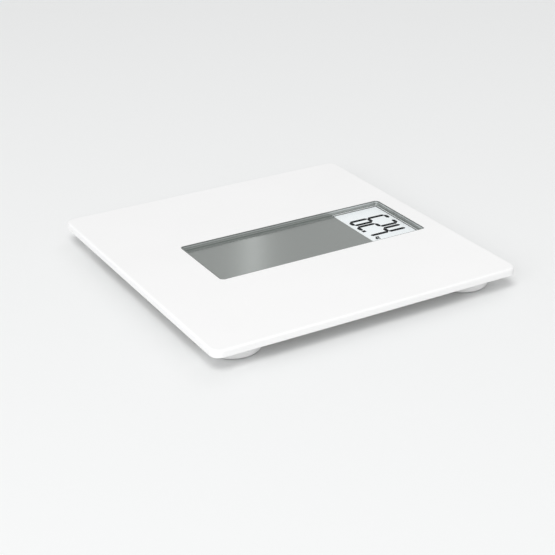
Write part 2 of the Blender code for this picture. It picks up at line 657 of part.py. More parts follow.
def make_base_cover():
    cover = open_shell("base_cover", (BASE_WIDTH, BASE_DEPTH, RIM_TOP - BASE_BOTTOM),
                       (0, BASE_MIDDLE, BASE_BOTTOM), BASE_WALL, COVER_PLASTIC, corner=BASE_CORNER, inner_edge=BASE_INNER_EDGE)
    cover_pockets(cover)
    cover_wells(cover)
    cover_board_posts(cover)
    cover_compartment(cover)
    cut(cover, post("button_hole", BUTTON_RADIUS + BUTTON_CLEARANCE, BASE_WALL + 2 * OVERRUN,
                    (BUTTON_X, BUTTON_Y, BASE_BOTTOM - OVERRUN), steps=ROUND_STEPS))
    return cover


# Battery door: flush in the cover's floor, hooked on two tongues that it swings down on
def make_battery_door():
    """Its origin is on the hinge axis, along the bottom of its front edge."""
    at = Vector((0, DOOR_FRONT, BASE_BOTTOM))
    door = block("battery_door", (DOOR_WIDTH, DOOR_LENGTH, BASE_WALL), (0, 0, 0), COVER_PLASTIC,
                 corner=DOOR_CORNER - DOOR_GAP, steps=3)
    door.data.transform(Matrix.Translation((0, DOOR_LENGTH / 2, 0)))
    door.location = at
    arm_bottom = FLOOR_TOP + GAP
    arm_length = TONGUE_REACH + TONGUE_ROOT
    for side in (-1, 1):
        x = side * TONGUE_SPACING / 2
        root = block(f"tongue_root_{side + 1}",
                     (TONGUE_WIDTH, TONGUE_ROOT, arm_bottom + TONGUE - FLOOR_MIDDLE),
                     (x, DOOR_FRONT + GAP + TONGUE_ROOT / 2, FLOOR_MIDDLE))
        arm = block(f"tongue_arm_{side + 1}", (TONGUE_WIDTH, arm_length, TONGUE),
                    (x, DOOR_FRONT - TONGUE_REACH + arm_length / 2, arm_bottom))
        join(door, root, arm)
    lip = block("thumb_lip", (THUMB_LIP_WIDTH, THUMB_LIP_REACH + DOOR_GAP, THUMB_LIP),
                (0, DOOR_BACK + (THUMB_LIP_REACH - DOOR_GAP) / 2, BASE_BOTTOM))
    join(door, lip)
    return door


def make_battery_cell():
    top, bottom = CELL_THICKNESS, 0
    profile = [(0, top), (CELL_RADIUS - 2 * CELL_EDGE, top), (CELL_RADIUS - CELL_EDGE, top - CELL_EDGE),
               (CELL_RADIUS, top - 2 * CELL_EDGE), (CELL_RADIUS, bottom + CELL_EDGE),
               (CELL_RADIUS - CELL_EDGE, bottom), (0, bottom)]
    cell = turned("battery_cell", profile, SPRING_STEEL)
    cell.location = (0, CELL_Y, CELL_BOTTOM)
    return cell


def make_contacts():
    """Sprung strips that run back to the board: one over the cell, and one bent down beside its rim."""
    front = CELL_Y - CONTACT_REACH
    minus = block("contact_minus", (CONTACT_WIDTH, CONTACT_BACK - front, CONTACT),
                  (0, (front + CONTACT_BACK) / 2, CONTACT_BOTTOM), SPRING_STEEL)
    front = CELL_Y - SIDE_CONTACT / 2
    outer = SIDE_CONTACT_X + CONTACT
    plus = block("contact_plus", (CONTACT_WIDTH, CONTACT_BACK - front, CONTACT),
                 (outer - CONTACT_WIDTH / 2, (front + CONTACT_BACK) / 2, CONTACT_BOTTOM), SPRING_STEEL)
    spring = block("contact_plus_side", (CONTACT, SIDE_CONTACT, CONTACT_BOTTOM + CONTACT / 2 - CELL_BOTTOM),
                   (outer - CONTACT / 2, CELL_Y + CONTACT / 2, CELL_BOTTOM))
    join(plus, spring)
    return minus, plus


def make_unit_button():
    top = PLUNGER_BOTTOM - GAP
    flange_top = FLOOR_TOP + GAP + BUTTON_FLANGE_HEIGHT
    bottom = BASE_BOTTOM - BUTTON_PROUD
    profile = [(0, top), (BUTTON_POST_RADIUS, top), (BUTTON_POST_RADIUS, flange_top),
               (BUTTON_RADIUS + BUTTON_FLANGE, flange_top), (BUTTON_RADIUS + BUTTON_FLANGE, FLOOR_TOP + GAP),
               (BUTTON_RADIUS, FLOOR_TOP + GAP), (BUTTON_RADIUS, bottom + BUTTON_EDGE),
               (BUTTON_RADIUS - BUTTON_EDGE, bottom), (0, bottom)]
    button = turned("unit_button", [(radius, height - bottom) for radius, height in profile], COVER_PLASTIC,
                    steps=2 * SMALL_STEPS)
    button.location = (BUTTON_X, BUTTON_Y, bottom)
    return button


def make_switch():
    body = block("switch_body", (SWITCH_WIDTH, SWITCH_WIDTH, SWITCH_HEIGHT), (BUTTON_X, BUTTON_Y, SWITCH_BOTTOM),
                 BLACK_PLASTIC)
    room = PLUNGER_HEIGHT - PLUNGER_PROUD + BUTTON_TRAVEL + GAP
    cut(body, post("plunger_room", PLUNGER_RADIUS + GAP, room + OVERRUN,
                   (BUTTON_X, BUTTON_Y, SWITCH_BOTTOM - OVERRUN)))
    plunger = post("switch_plunger", PLUNGER_RADIUS, PLUNGER_HEIGHT, (BUTTON_X, BUTTON_Y, PLUNGER_BOTTOM),
                   WHITE_PLASTIC)
    return body, plunger


# Foot: a turned cap that runs up and down in the cover's pocket, with a rubber pad let in below
FOOT_WALL = 0.0016
FOOT_FLOOR = 0.002
FOOT_ROUNDING = 0.003
PAD = 0.0015
PAD_SUNK = 0.0005
PAD_RIM = 0.0035
PAD_EDGE = 0.0006
PAD_GROOVE = 0.0005
PAD_GROOVE_SHARES = (0.80, 0.72)
FOOT_BOSS_RADIUS = 0.006
FOOT_SCREW_SHANK = 0.0019
FOOT_SCREW_HEAD = 0.004
FOOT_SCREW_HEAD_HEIGHT = 0.0016
FOOT_SCREW_EDGE = 0.0007
PAD_RADIUS = FOOT_RADIUS - PAD_RIM
FOOT_BOTTOM = PAD - PAD_SUNK
FOOT_CEILING = PAD + GAP
FOOT_FLOOR_TOP = FOOT_CEILING + FOOT_FLOOR
FOOT_RIM_TOP = SHELF_BOTTOM - GAP - FOOT_TRAVEL
FOOT_BOSS_TOP = LOAD_CELL_BOTTOM - GAP
FOOT_BORE_BOTTOM = FOOT_FLOOR_TOP + GAP
FOOT_SCREW_TIP = FOOT_BORE_BOTTOM + GAP
FOOT_SCREW_SEAT = LOAD_CELL_TOP + GAP


def foot_cap_profile():
    inner = FOOT_RADIUS - FOOT_WALL
    bore = FOOT_SCREW_SHANK + GAP
    profile = [(0, FOOT_BORE_BOTTOM), (bore, FOOT_BORE_BOTTOM), (bore, FOOT_BOSS_TOP),
               (FOOT_BOSS_RADIUS, FOOT_BOSS_TOP), (FOOT_BOSS_RADIUS, FOOT_FLOOR_TOP), (inner, FOOT_FLOOR_TOP),
               (inner, FOOT_RIM_TOP), (FOOT_RADIUS, FOOT_RIM_TOP)]
    profile += rounding(FOOT_RADIUS - FOOT_ROUNDING, FOOT_BOTTOM + FOOT_ROUNDING, FOOT_ROUNDING, 0, -90)
    profile += [(PAD_RADIUS + GAP, FOOT_BOTTOM), (PAD_RADIUS + GAP, FOOT_CEILING), (0, FOOT_CEILING)]
    return profile


def foot_pad_profile():
    outer, inner = (share * PAD_RADIUS for share in PAD_GROOVE_SHARES)
    return [(0, PAD), (PAD_RADIUS, PAD), (PAD_RADIUS, PAD_EDGE), (PAD_RADIUS - PAD_EDGE, 0), (outer, 0),
            (outer, PAD_GROOVE), (inner, PAD_GROOVE), (inner, 0), (0, 0)]


def foot_screw_profile():
    head = FOOT_SCREW_SEAT + FOOT_SCREW_HEAD_HEIGHT
    return [(0, head), (FOOT_SCREW_HEAD - FOOT_SCREW_EDGE, head), (FOOT_SCREW_HEAD, head - FOOT_SCREW_EDGE),
            (FOOT_SCREW_HEAD, FOOT_SCREW_SEAT), (FOOT_SCREW_SHANK, FOOT_SCREW_SEAT),
            (FOOT_SCREW_SHANK, FOOT_SCREW_TIP + FOOT_SCREW_SHANK / 2), (0, FOOT_SCREW_TIP)]


# Load cell: a square of spring steel whose middle tongue bends as the foot's screw pulls on it
TONGUE_PLATE = 0.012
CELL_SLOT = 0.002
CELL_SLOT_FRONT = 0.008
CELL_SLOT_BACK = 0.010
GAUGE_WIDTH = 0.010
GAUGE_LENGTH = 0.004
GAUGE = 0.0003
GAUGE_BACK_MARGIN = 0.0005


def load_cell_former(name):
    cell = block(name, (LOAD_CELL_WIDTH, LOAD_CELL_WIDTH, LOAD_CELL), (0, 0, LOAD_CELL_BOTTOM),
                 corner=LOAD_CELL_CORNER, steps=3)
    through = LOAD_CELL + 2 * OVERRUN
    under = LOAD_CELL_BOTTOM - OVERRUN
    for side in (-1, 1):
        cut(cell, block(f"cell_side_slot_{side + 1}", (CELL_SLOT, CELL_SLOT_FRONT + CELL_SLOT_BACK, through),
                        (side * (TONGUE_PLATE + CELL_SLOT) / 2, (CELL_SLOT_BACK - CELL_SLOT_FRONT) / 2, under)))
    cut(cell, block("cell_end_slot", (TONGUE_PLATE + CELL_SLOT, CELL_SLOT, through),
                    (0, CELL_SLOT / 2 - CELL_SLOT_FRONT, under)))
    cut(cell, post("cell_hole", FOOT_SCREW_SHANK + GAP, through, (0, 0, under)))
    return cell


def seat_former(name):
    """A square collar over the load cell's rim, with a way out for the lead towards the scale's middle."""
    seat = block(name, (SEAT_WIDTH, SEAT_WIDTH, SEAT_HEIGHT), (0, 0, SEAT_BOTTOM), corner=SEAT_CORNER, steps=3)
    pocket = LOAD_CELL_WIDTH + 2 * GAP
    deep = SEAT_LEDGE - SEAT_BOTTOM + OVERRUN
    cut(seat,
        block("seat_pocket", (pocket, pocket, deep), (0, 0, SEAT_BOTTOM - OVERRUN)),
        block("seat_opening", (SEAT_OPENING, SEAT_OPENING, SEAT_HEIGHT + 2 * OVERRUN),
              (0, 0, SEAT_BOTTOM - OVERRUN)),
        block("seat_notch", (SEAT_WALL + 2 * OVERRUN, LEAD_SLOT, deep),
              (-(SEAT_WIDTH - SEAT_WALL) / 2, 0, SEAT_BOTTOM - OVERRUN)))
    return seat


def gauge_former(name):
    """A film gauge bonded at the root of the load cell's tongue."""
    back = CELL_SLOT_BACK - GAUGE_BACK_MARGIN
    return block(name, (GAUGE_WIDTH, GAUGE_LENGTH, GAUGE), (0, back - GAUGE_LENGTH / 2, LOAD_CELL_TOP + GAP))


def make_corner_pieces():
    """Each corner's pieces hang on two empties on its foot's axis: one that stays and one that travels."""
    fixed = {"load_cell": (load_cell_former("load_cell_form"), SPRING_STEEL),
             "load_cell_seat": (seat_former("load_cell_seat_form"), WHITE_PLASTIC),
             "strain_gauge": (gauge_former("strain_gauge_form"), GAUGE_FILM)}
    moving = {"foot_cap": (turned("foot_cap_form", foot_cap_profile()), WHITE_PLASTIC),
              "foot_pad": (turned("foot_pad_form", foot_pad_profile()), GREY_RUBBER),
              "foot_screw": (turned("foot_screw_form", foot_screw_profile(), steps=SMALL_STEPS), SPRING_STEEL)}
    meshes = {name: (final_mesh(form, name), look) for name, (form, look) in (fixed | moving).items()}
    for corner, (side_x, side_y) in CORNERS.items():
        at = (side_x * FOOT_X, side_y * FOOT_Y, 0)
        station = empty_at(f"station_{corner}", at)
        foot = empty_at(f"foot_{corner}", at)
        for name, (mesh, look) in meshes.items():
            piece = add(f"{name}_{corner}", mesh, look, station if name in fixed else foot)
            piece.rotation_euler.z = 0 if side_x > 0 else math.pi


# Load cell leads: from each cell through its collar and pocket, along the floor and up onto the board
LEAD_STEP = 6 * LEAD_RADIUS
LEAD_LEVEL = FLOOR_TOP + LEAD_RADIUS + 2 * GAP
LEAD_EXIT_LEVEL = SHELF_TOP + GAP + LEAD_RADIUS
LEAD_PAD_LEVEL = BOARD_TOP + GAP + LEAD_RADIUS
LEAD_BEND = 0.008
LEAD_RISE = 0.0035
LEAD_PAD_INSET = 0.003
LEAD_RUN_SHARES = (0.10, 0.36, 0.66, 0.88)
LEAD_PAD_SHARES = {-1: 0.28, 1: 0.78}


def smooth_route(points, step):
    """Points about one step apart on a smooth curve through the route's own points."""
    ends = [2 * points[0] - points[1], *points, 2 * points[-1] - points[-2]]
    route = []
    for a, b, c, d in zip(ends, ends[1:], ends[2:], ends[3:]):
        count = max(1, round((c - b).length / step))
        for i in range(count):
            t = i / count
            route.append((2 * b + (c - a) * t + (2 * a - 5 * b + 4 * c - d) * t**2
                          + (3 * b - a - 3 * c + d) * t**3) / 2)
    return [*route, points[-1]]


def lead_route(side_x, side_y):
    cell_edge = LOAD_CELL_WIDTH / 2 + GAP
    leave = [Vector((side_x * (FOOT_X - out), side_y * FOOT_Y, LEAD_EXIT_LEVEL))
             for out in (cell_edge, (cell_edge + POCKET_RADIUS) / 2, TUBE_RADIUS + GAP)]
    start = Vector((side_x * (FOOT_X - TUBE_RADIUS - LEAD_BEND), side_y * FOOT_Y, LEAD_LEVEL))
    pad_y = BOARD_FRONT + BOARD_LENGTH * LEAD_PAD_SHARES[side_y]
    edge = Vector((side_x * (BOARD_WIDTH / 2 + LEAD_BEND), pad_y, LEAD_LEVEL))
    run = [start.lerp(edge, share) for share in LEAD_RUN_SHARES]
    rise = Vector((side_x * (BOARD_WIDTH / 2 + LEAD_RISE), pad_y, LEAD_PAD_LEVEL - LEAD_RADIUS))
    over = Vector((side_x * (BOARD_WIDTH / 2 + GAP), pad_y, LEAD_PAD_LEVEL))
    pad = Vector((side_x * (BOARD_WIDTH / 2 - LEAD_PAD_INSET), pad_y, LEAD_PAD_LEVEL))
    return smooth_route([*leave, *run, rise, over, pad], LEAD_STEP)


def make_lead(corner, side_x, side_y):
    name = f"load_cell_lead_{corner}"
    curve = bpy.data.curves.new(name, "CURVE")
    curve.dimensions = "3D"
    curve.bevel_depth = LEAD_RADIUS
    curve.bevel_resolution = 2
    curve.use_fill_caps = True
    route = lead_route(side_x, side_y)
    spline = curve.splines.new("POLY")
    spline.points.add(len(route) - 1)
    for point, at in zip(spline.points, route):
        point.co = (*at, 1)
    return add(name, curve, LEAD_SHEATH)


# Screws: eight in the cover's wells, four in the display frame, two in the board
def screw_former(name, shank, length, head, head_height):
    """Stands on its head, so that its shank runs up from there."""
    profile = [(0, head_height + length), (shank, head_height + length - shank), (shank, head_height),
               (head, head_height), (head, head_height / 2), (head - head_height / 2, 0), (0, 0)]
    return turned(name, profile, steps=SMALL_STEPS)


def make_screws():
    long_screw = final_mesh(
        screw_former("base_screw_form", SCREW_SHANK, SCREW_LENGTH, SCREW_HEAD, SCREW_HEAD_HEIGHT), "base_screw")
    pin = final_mesh(screw_former("small_screw_form", PIN_SHANK, PIN_LENGTH, PIN_HEAD, PIN_HEAD_HEIGHT),
                     "small_screw")
    for number, (x, y) in enumerate(SCREW_PLACES, 1):
        add(f"base_screw_{number}", long_screw, SPRING_STEEL).location = (x, y, BASE_BOTTOM + GAP)
    for number, (x, y) in enumerate(EAR_PLACES, 1):
        screw = add(f"display_screw_{number}", pin, SPRING_STEEL)
        screw.location = (x, y, FRAME_TOP - EAR - GAP - PIN_HEAD_HEIGHT)
    for number in BOARD_SCREWED:
        x, y = BOARD_PLACES[number - 1]
        screw = add(f"board_screw_{number}", pin, SPRING_STEEL)
        screw.location = (x, y, BOARD_TOP + GAP + PIN_HEAD_HEIGHT)
        screw.rotation_euler.x = math.pi


make_deck()
make_inlay_tray()
make_display_lens()
make_display_glass()
make_backlight_guide()
make_display_frame()
make_main_board()
make_board_chip()
make_display_ribbon()
make_base_cover()
make_battery_door()
make_battery_cell()
make_contacts()
make_unit_button()
make_switch()
make_corner_pieces()
for corner_name, (corner_x, corner_y) in CORNERS.items():
    make_lead(corner_name, corner_x, corner_y)
make_screws()
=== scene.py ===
"""A square bathroom scale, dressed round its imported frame: a white moulded deck with a sunk panel of brushed
steel and a display, standing on four round feet. Metres, X to the user's right, Y to the display, Z up."""
import json
import math

import bmesh
import bpy
from mathutils import Matrix, Vector


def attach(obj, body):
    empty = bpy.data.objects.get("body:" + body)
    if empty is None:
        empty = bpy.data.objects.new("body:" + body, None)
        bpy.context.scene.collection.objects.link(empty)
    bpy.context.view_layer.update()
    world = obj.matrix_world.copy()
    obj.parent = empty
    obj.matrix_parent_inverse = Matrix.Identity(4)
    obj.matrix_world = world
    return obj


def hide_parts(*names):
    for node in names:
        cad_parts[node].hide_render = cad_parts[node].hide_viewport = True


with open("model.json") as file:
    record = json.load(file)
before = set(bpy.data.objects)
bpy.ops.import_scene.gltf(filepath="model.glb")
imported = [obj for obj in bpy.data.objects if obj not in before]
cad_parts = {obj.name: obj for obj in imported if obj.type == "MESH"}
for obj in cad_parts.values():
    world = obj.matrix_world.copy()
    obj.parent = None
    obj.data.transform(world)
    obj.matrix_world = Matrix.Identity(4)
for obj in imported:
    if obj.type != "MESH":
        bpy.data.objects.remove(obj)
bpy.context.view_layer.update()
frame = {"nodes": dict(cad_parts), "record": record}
scene = bpy.context.scene
scene.view_settings.view_transform = "Standard"


# Camera: a long studio lens, a step away from the scale's front right corner and looking down on it.
# Its place, turn and tilt come from the deck's edges in the photograph.
CAMERA_PLACE = (0.9408, -0.5580, 0.5150)
CAMERA_TURN = math.radians(59.565)
CAMERA_TILT = math.radians(25.814)
CAMERA_ROLL = math.radians(-0.203)
FOCAL_LENGTH = 85.75
SENSOR_WIDTH = 36
NEAREST_SEEN = 0.01

lens = bpy.data.cameras.new("studio_camera")
lens.lens = FOCAL_LENGTH
lens.sensor_width = SENSOR_WIDTH
lens.clip_start = NEAREST_SEEN
camera = bpy.data.objects.new("studio_camera", lens)
scene.collection.objects.link(camera)
back = Vector((math.sin(CAMERA_TURN) * math.cos(CAMERA_TILT),
               -math.cos(CAMERA_TURN) * math.cos(CAMERA_TILT),
               math.sin(CAMERA_TILT)))
right = Vector((0, 0, 1)).cross(back).normalized()
axes = Matrix((right, back.cross(right), back)).transposed().to_4x4()
camera.matrix_world = Matrix.Translation(CAMERA_PLACE) @ axes @ Matrix.Rotation(CAMERA_ROLL, 4, "Z")
scene.camera = camera


# Floor: a sheet of pale studio card under the scale, wide enough to fill every view.
# Seen from below it is clear, and it holds back no lamp, so that the scale's underside can be looked at.
FLOOR_REACH = 14
SQUARE = ((-1, -1), (1, -1), (1, 1), (-1, 1))
CARD_COLOUR = "#F4F5F5"
CARD_ROUGHNESS = 0.55
CARD_SHEEN = 0.25


def linear(colour, alpha=1):
    """An sRGB hex colour as the linear values that shaders take."""
    parts = [int(colour[i:i + 2], 16) / 255 for i in (1, 3, 5)]
    return (*[c / 12.92 if c <= 0.04045 else ((c + 0.055) / 1.055) ** 2.4 for c in parts], alpha)


def add_node(tree, kind, inputs=None, **settings):
    """Adds a node with its settings, and gives its inputs a value, or a link where the value is a socket."""
    made = tree.nodes.new(kind)
    for name, value in settings.items():
        setattr(made, name, value)
    for socket, value in (inputs or {}).items():
        if isinstance(value, bpy.types.NodeSocket):
            tree.links.new(value, made.inputs[socket])
        else:
            made.inputs[socket].default_value = value
    return made


def new_material(name):
    """A material with an empty tree but for its output."""
    made = bpy.data.materials.new(name)
    made.use_nodes = True
    tree = made.node_tree
    tree.nodes.clear()
    return made, tree, tree.nodes.new("ShaderNodeOutputMaterial")


def new_piece(name, mesh, material):
    """A mesh as an object at the origin, in one material."""
    made = bpy.data.objects.new(name, mesh)
    scene.collection.objects.link(made)
    mesh.materials.clear()
    mesh.materials.append(material)
    return made


# Uncoated card: pale and nearly matt, so that it shows soft shadows and no sharp highlight
card, tree, out = new_material("studio_card")
paper = add_node(tree, "ShaderNodeBsdfPrincipled",
                 {"Base Color": linear(CARD_COLOUR), "Roughness": CARD_ROUGHNESS,
                  "Specular IOR Level": CARD_SHEEN})
clear = add_node(tree, "ShaderNodeBsdfTransparent")
side = add_node(tree, "ShaderNodeNewGeometry")
mixed = add_node(tree, "ShaderNodeMixShader",
                 {0: side.outputs["Backfacing"], 1: paper.outputs[0], 2: clear.outputs[0]})
tree.links.new(mixed.outputs[0], out.inputs["Surface"])
floor_mesh = bpy.data.meshes.new("floor")
floor_mesh.from_pydata([(x * FLOOR_REACH, y * FLOOR_REACH, 0) for x, y in SQUARE], [], [(0, 1, 2, 3)])
floor = new_piece("floor", floor_mesh, card)
floor.visible_shadow = False


# Light: a white studio tent with three soft boxes in it. The largest hangs high at the camera's side, a low
# one lifts the deck's sides, and one behind softens the shadows. A strip lays a band across the steel, and a
# weak box under the floor reaches nothing but the scale's underside.
TENT_LIGHT = 0.49
TENT_WHITE = "#FFFFFF"
# Each box has its place and its width, height and power in metres and watts
SOFT_BOXES = {"front_box": ((1.6, -2.6, 1.5), 2.2, 1.4, 26),
              "key_box": ((2.75, -2.32, 6.34), 3.8, 3.8, 236),
              "back_box": ((-2.2, 3.6, 4.0), 3.2, 3.2, 25),
              "band_box": ((-2.63, 1.44, 1.50), 0.045, 1.8, 0.165),
              "under_box": ((0, 0, -1.2), 1.4, 1.4, 2.5)}
LIT_FROM_BELOW = ("base_cover", "battery_door", "unit_button", "battery_cell", "contact_plus",
                  "contact_minus")


def soft_box(name, place, width, height, power):
    """A rectangular lamp that faces the scale's middle and can't be seen by the camera."""
    data = bpy.data.lights.new(name, "AREA")
    data.shape = "RECTANGLE"
    data.size, data.size_y, data.energy = width, height, power
    made = bpy.data.objects.new(name, data)
    made.visible_camera = False
    scene.collection.objects.link(made)
    made.matrix_world = Matrix.Translation(place) @ Vector(place).to_track_quat("Z", "Y").to_matrix().to_4x4()
    return made


world = bpy.data.worlds.new("studio_tent")
scene.world = world
world.use_nodes = True
tent = next(n for n in world.node_tree.nodes if n.type == "BACKGROUND")
tent.inputs["Color"].default_value = linear(TENT_WHITE)
tent.inputs["Strength"].default_value = TENT_LIGHT
world.cycles.sampling_method = "NONE"
boxes = {name: soft_box(name, *values) for name, values in SOFT_BOXES.items()}
underside = bpy.data.collections.new("underside_lit_from_below")
boxes["under_box"].light_linking.receiver_collection = underside
for name in LIT_FROM_BELOW:
    underside.objects.link(frame["nodes"][name])


# Deck: one injection moulding in white ABS with a satin surface, 6.8 mm deep at its rolled edge, and with a
# sunk pan for the steel panel. Its shell is drawn as rings of one outline each, from the lip over the top,
# down into the window, out under the pan and back to the lip.
MM = 0.001
DECK_HALF = 150 * MM
DECK_TOP = 21 * MM
DECK_LIP = 14.2 * MM
DECK_WALL = 2.5 * MM
DECK_CORNER = 9 * MM
DECK_TOP_EDGE = 1.8 * MM
DECK_BOTTOM_EDGE = 0.6 * MM
DECK_UNDERSIDE = DECK_TOP - DECK_WALL
WINDOW_HALF_WIDTH = 40 * MM
WINDOW_HALF_LENGTH = 107.75 * MM
WINDOW_MIDDLE = 23.45 * MM
WINDOW_CORNER = 4 * MM
WINDOW_EDGE = 0.45 * MM
PAN_TOP = 16.1 * MM
PAN_BOTTOM = 14.9 * MM
PAN_WALL = 2 * MM
DISPLAY_HALF_WIDTH = 38.3 * MM
DISPLAY_HALF_LENGTH = 25.6 * MM
DISPLAY_MIDDLE = 103.1 * MM
APERTURE_LAP = 0.9 * MM
APERTURE_CORNER = 1.5 * MM
# A ring this far past a bend keeps the shading of the flat beside it flat
HOLD = 0.12 * MM
CORNER_STEPS = 16
LEAST_RADIUS = 0.02 * MM


def outline(half_x, half_y, corner, middle_y=0):
    """A function that gives the rounded rectangle's ring of points at an inset and a height."""
    def ring(inset, height):
        radius = max(corner - inset, LEAST_RADIUS)
        points = []
        for x, y, start in ((1, 1, 0), (-1, 1, 90), (-1, -1, 180), (1, -1, 270)):
            for i in range(CORNER_STEPS + 1):
                a = math.radians(start + 90 * i / CORNER_STEPS)
                points.append((x * (half_x - inset - radius) + radius * math.cos(a),
                               middle_y + y * (half_y - inset - radius) + radius * math.sin(a), height))
        return points
    return ring


def rolled(ring, inset, height, radius, first, last, steps):
    """Rings round an edge whose centre is at an inset and a height, turning from one angle to another.
    Zero degrees looks outwards and 90 up."""
    turns = [math.radians(first + (last - first) * i / steps) for i in range(steps + 1)]
    return [ring(inset - radius * math.cos(a), height + radius * math.sin(a)) for a in turns]


def lofted(name, rings):
    """A mesh with a band of faces between each two rings, and one from the last ring back to the first."""
    count = len(rings[0])
    made = bmesh.new()
    loops = [[made.verts.new(p) for p in ring] for ring in rings]
    for a, b in zip(loops, loops[1:] + loops[:1]):
        for i in range(count):
            made.faces.new((a[i], a[(i + 1) % count], b[(i + 1) % count], b[i]))
    bmesh.ops.recalc_face_normals(made, faces=made.faces)
    mesh = bpy.data.meshes.new(name)
    made.to_mesh(mesh)
    made.free()
    mesh.shade_smooth()
    return mesh


outer = outline(DECK_HALF, DECK_HALF, DECK_CORNER)
window = outline(WINDOW_HALF_WIDTH, WINDOW_HALF_LENGTH, WINDOW_CORNER, WINDOW_MIDDLE)
aperture = outline(DISPLAY_HALF_WIDTH + APERTURE_LAP, DISPLAY_HALF_LENGTH + APERTURE_LAP, APERTURE_CORNER,
                   DISPLAY_MIDDLE)
deck_rings = [outer(DECK_WALL, DECK_LIP + HOLD),
              outer(DECK_WALL - HOLD, DECK_LIP),
              outer(DECK_BOTTOM_EDGE + HOLD, DECK_LIP),
              *rolled(outer, DECK_BOTTOM_EDGE, DECK_LIP + DECK_BOTTOM_EDGE, DECK_BOTTOM_EDGE, -90, 0,
                      steps=4),
              outer(0, DECK_LIP + DECK_BOTTOM_EDGE + HOLD),
              outer(0, DECK_TOP - DECK_TOP_EDGE - HOLD),
              *rolled(outer, DECK_TOP_EDGE, DECK_TOP - DECK_TOP_EDGE, DECK_TOP_EDGE, 0, 90, steps=8),
              outer(DECK_TOP_EDGE + HOLD, DECK_TOP),
              window(-WINDOW_EDGE - HOLD, DECK_TOP),
              *rolled(window, -WINDOW_EDGE, DECK_TOP - WINDOW_EDGE, WINDOW_EDGE, 90, 180, steps=5),
              window(0, DECK_TOP - WINDOW_EDGE - HOLD),
              window(0, PAN_TOP + HOLD),
              window(HOLD, PAN_TOP),
              aperture(-HOLD, PAN_TOP),
              aperture(0, PAN_TOP - HOLD),
              aperture(0, PAN_BOTTOM + HOLD),
              aperture(-HOLD, PAN_BOTTOM),
              window(-PAN_WALL + HOLD, PAN_BOTTOM),
              window(-PAN_WALL, PAN_BOTTOM + HOLD),
              window(-PAN_WALL, DECK_UNDERSIDE - HOLD),
              window(-PAN_WALL - HOLD, DECK_UNDERSIDE),
              outer(DECK_WALL + HOLD, DECK_UNDERSIDE),
              outer(DECK_WALL, DECK_UNDERSIDE - HOLD)]

DECK_WHITE = "#FDFDFD"
SATIN_GRAIN = 0.9 * MM
HAND_POLISH = 60 * MM
ABS_IOR = 1.53
TINT_SHARE = 0.985
# A noise's values seldom fall outside these two
NOISE_LOW, NOISE_HIGH = 0.3, 0.7
# A Mix node's two colour inputs by number, because its inputs for other kinds of value have the same names
FIRST_COLOUR, SECOND_COLOUR = 6, 7


def moulded_plastic(name, colour, roughness, spread, grain, relief, ior=ABS_IOR):
    """Injection-moulded plastic: the mould's fine grain in relief, and a sheen that drifts a little."""
    made, tree, out = new_material(name)
    place = add_node(tree, "ShaderNodeTexCoord").outputs["Object"]
    drift = add_node(tree, "ShaderNodeTexNoise", {"Vector": place, "Scale": 1 / HAND_POLISH, "Detail": 3.0})
    sheen = add_node(tree, "ShaderNodeMapRange",
                     {"Value": drift.outputs[0], "From Min": NOISE_LOW, "From Max": NOISE_HIGH,
                      "To Min": roughness - spread, "To Max": roughness + spread})
    skin = add_node(tree, "ShaderNodeTexNoise", {"Vector": place, "Scale": 1 / grain, "Detail": 2.0})
    bump = add_node(tree, "ShaderNodeBump", {"Height": skin.outputs[0], "Strength": 0.5, "Distance": relief})
    shade = linear(colour)
    darker = (*[c * TINT_SHARE for c in shade[:3]], 1)
    tint = add_node(tree, "ShaderNodeMix",
                    {0: drift.outputs[0], FIRST_COLOUR: darker, SECOND_COLOUR: shade}, data_type="RGBA")
    face = add_node(tree, "ShaderNodeBsdfPrincipled",
                    {"Base Color": tint.outputs[2], "Roughness": sheen.outputs[0], "IOR": ior,
                     "Normal": bump.outputs[0]})
    tree.links.new(face.outputs[0], out.inputs["Surface"])
    return made


# Satin ABS: bright white with soft, wide highlights and no visible grain from a step away
satin_abs = moulded_plastic("satin_white_abs", DECK_WHITE, roughness=0.36, spread=0.04, grain=SATIN_GRAIN,
                            relief=0.012 * MM)
deck = new_piece("deck_shell", lofted("deck_shell", deck_rings), satin_abs)
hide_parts("deck")
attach(deck, "scale")


# Deck ribs: the grid moulded under the deck, 1.6 mm thick, which keeps its top flat under the user's weight.
# It stops at the pan and at each foot, and a screw boss stands in it for each of the cover's screws. Four
# slimmer bosses beside the pan take the display frame's.
FOOT_REACH = 115 * MM
CORNERS = {"front_left": (-1, -1), "front_right": (1, -1), "back_left": (-1, 1), "back_right": (1, 1)}
RIB = 1.6 * MM
RIB_PITCH = 30 * MM
RIB_BOTTOM = 15.2 * MM
RIB_LINES = range(-4, 5)
FOOT_ROOM = 24.8 * MM
ROOT = 0.4 * MM
ROOT_TOP = DECK_UNDERSIDE + ROOT
BOSS_RADIUS = 3.5 * MM
BOSS_HOLE = 1.8 * MM
BOSS_BOTTOM = 9.3 * MM
BOSS_DEPTH = 8.2 * MM
BOSS_SIDES = 32
HOLE_SIDES = 24
SCREW_NEAR = 68.3 * MM
SCREW_FAR = 120 * MM
SCREW_SIDE = 60 * MM
SCREW_PLACES = [(x * SCREW_NEAR, y * SCREW_FAR) for x, y in CORNERS.values()]
SCREW_PLACES += [(x * SCREW_FAR, y * SCREW_SIDE) for x, y in CORNERS.values()]
EAR_BOSS_RADIUS = 3.2 * MM
EAR_BOSS_HOLE = 1.2 * MM
EAR_BOSS_DEPTH = 3.5 * MM
EAR_X = 45.2 * MM
EAR_SPACING = 30 * MM
EAR_PLACES = [(x * EAR_X, DISPLAY_MIDDLE + y * EAR_SPACING / 2) for x, y in CORNERS.values()]
CREASE = math.radians(35)


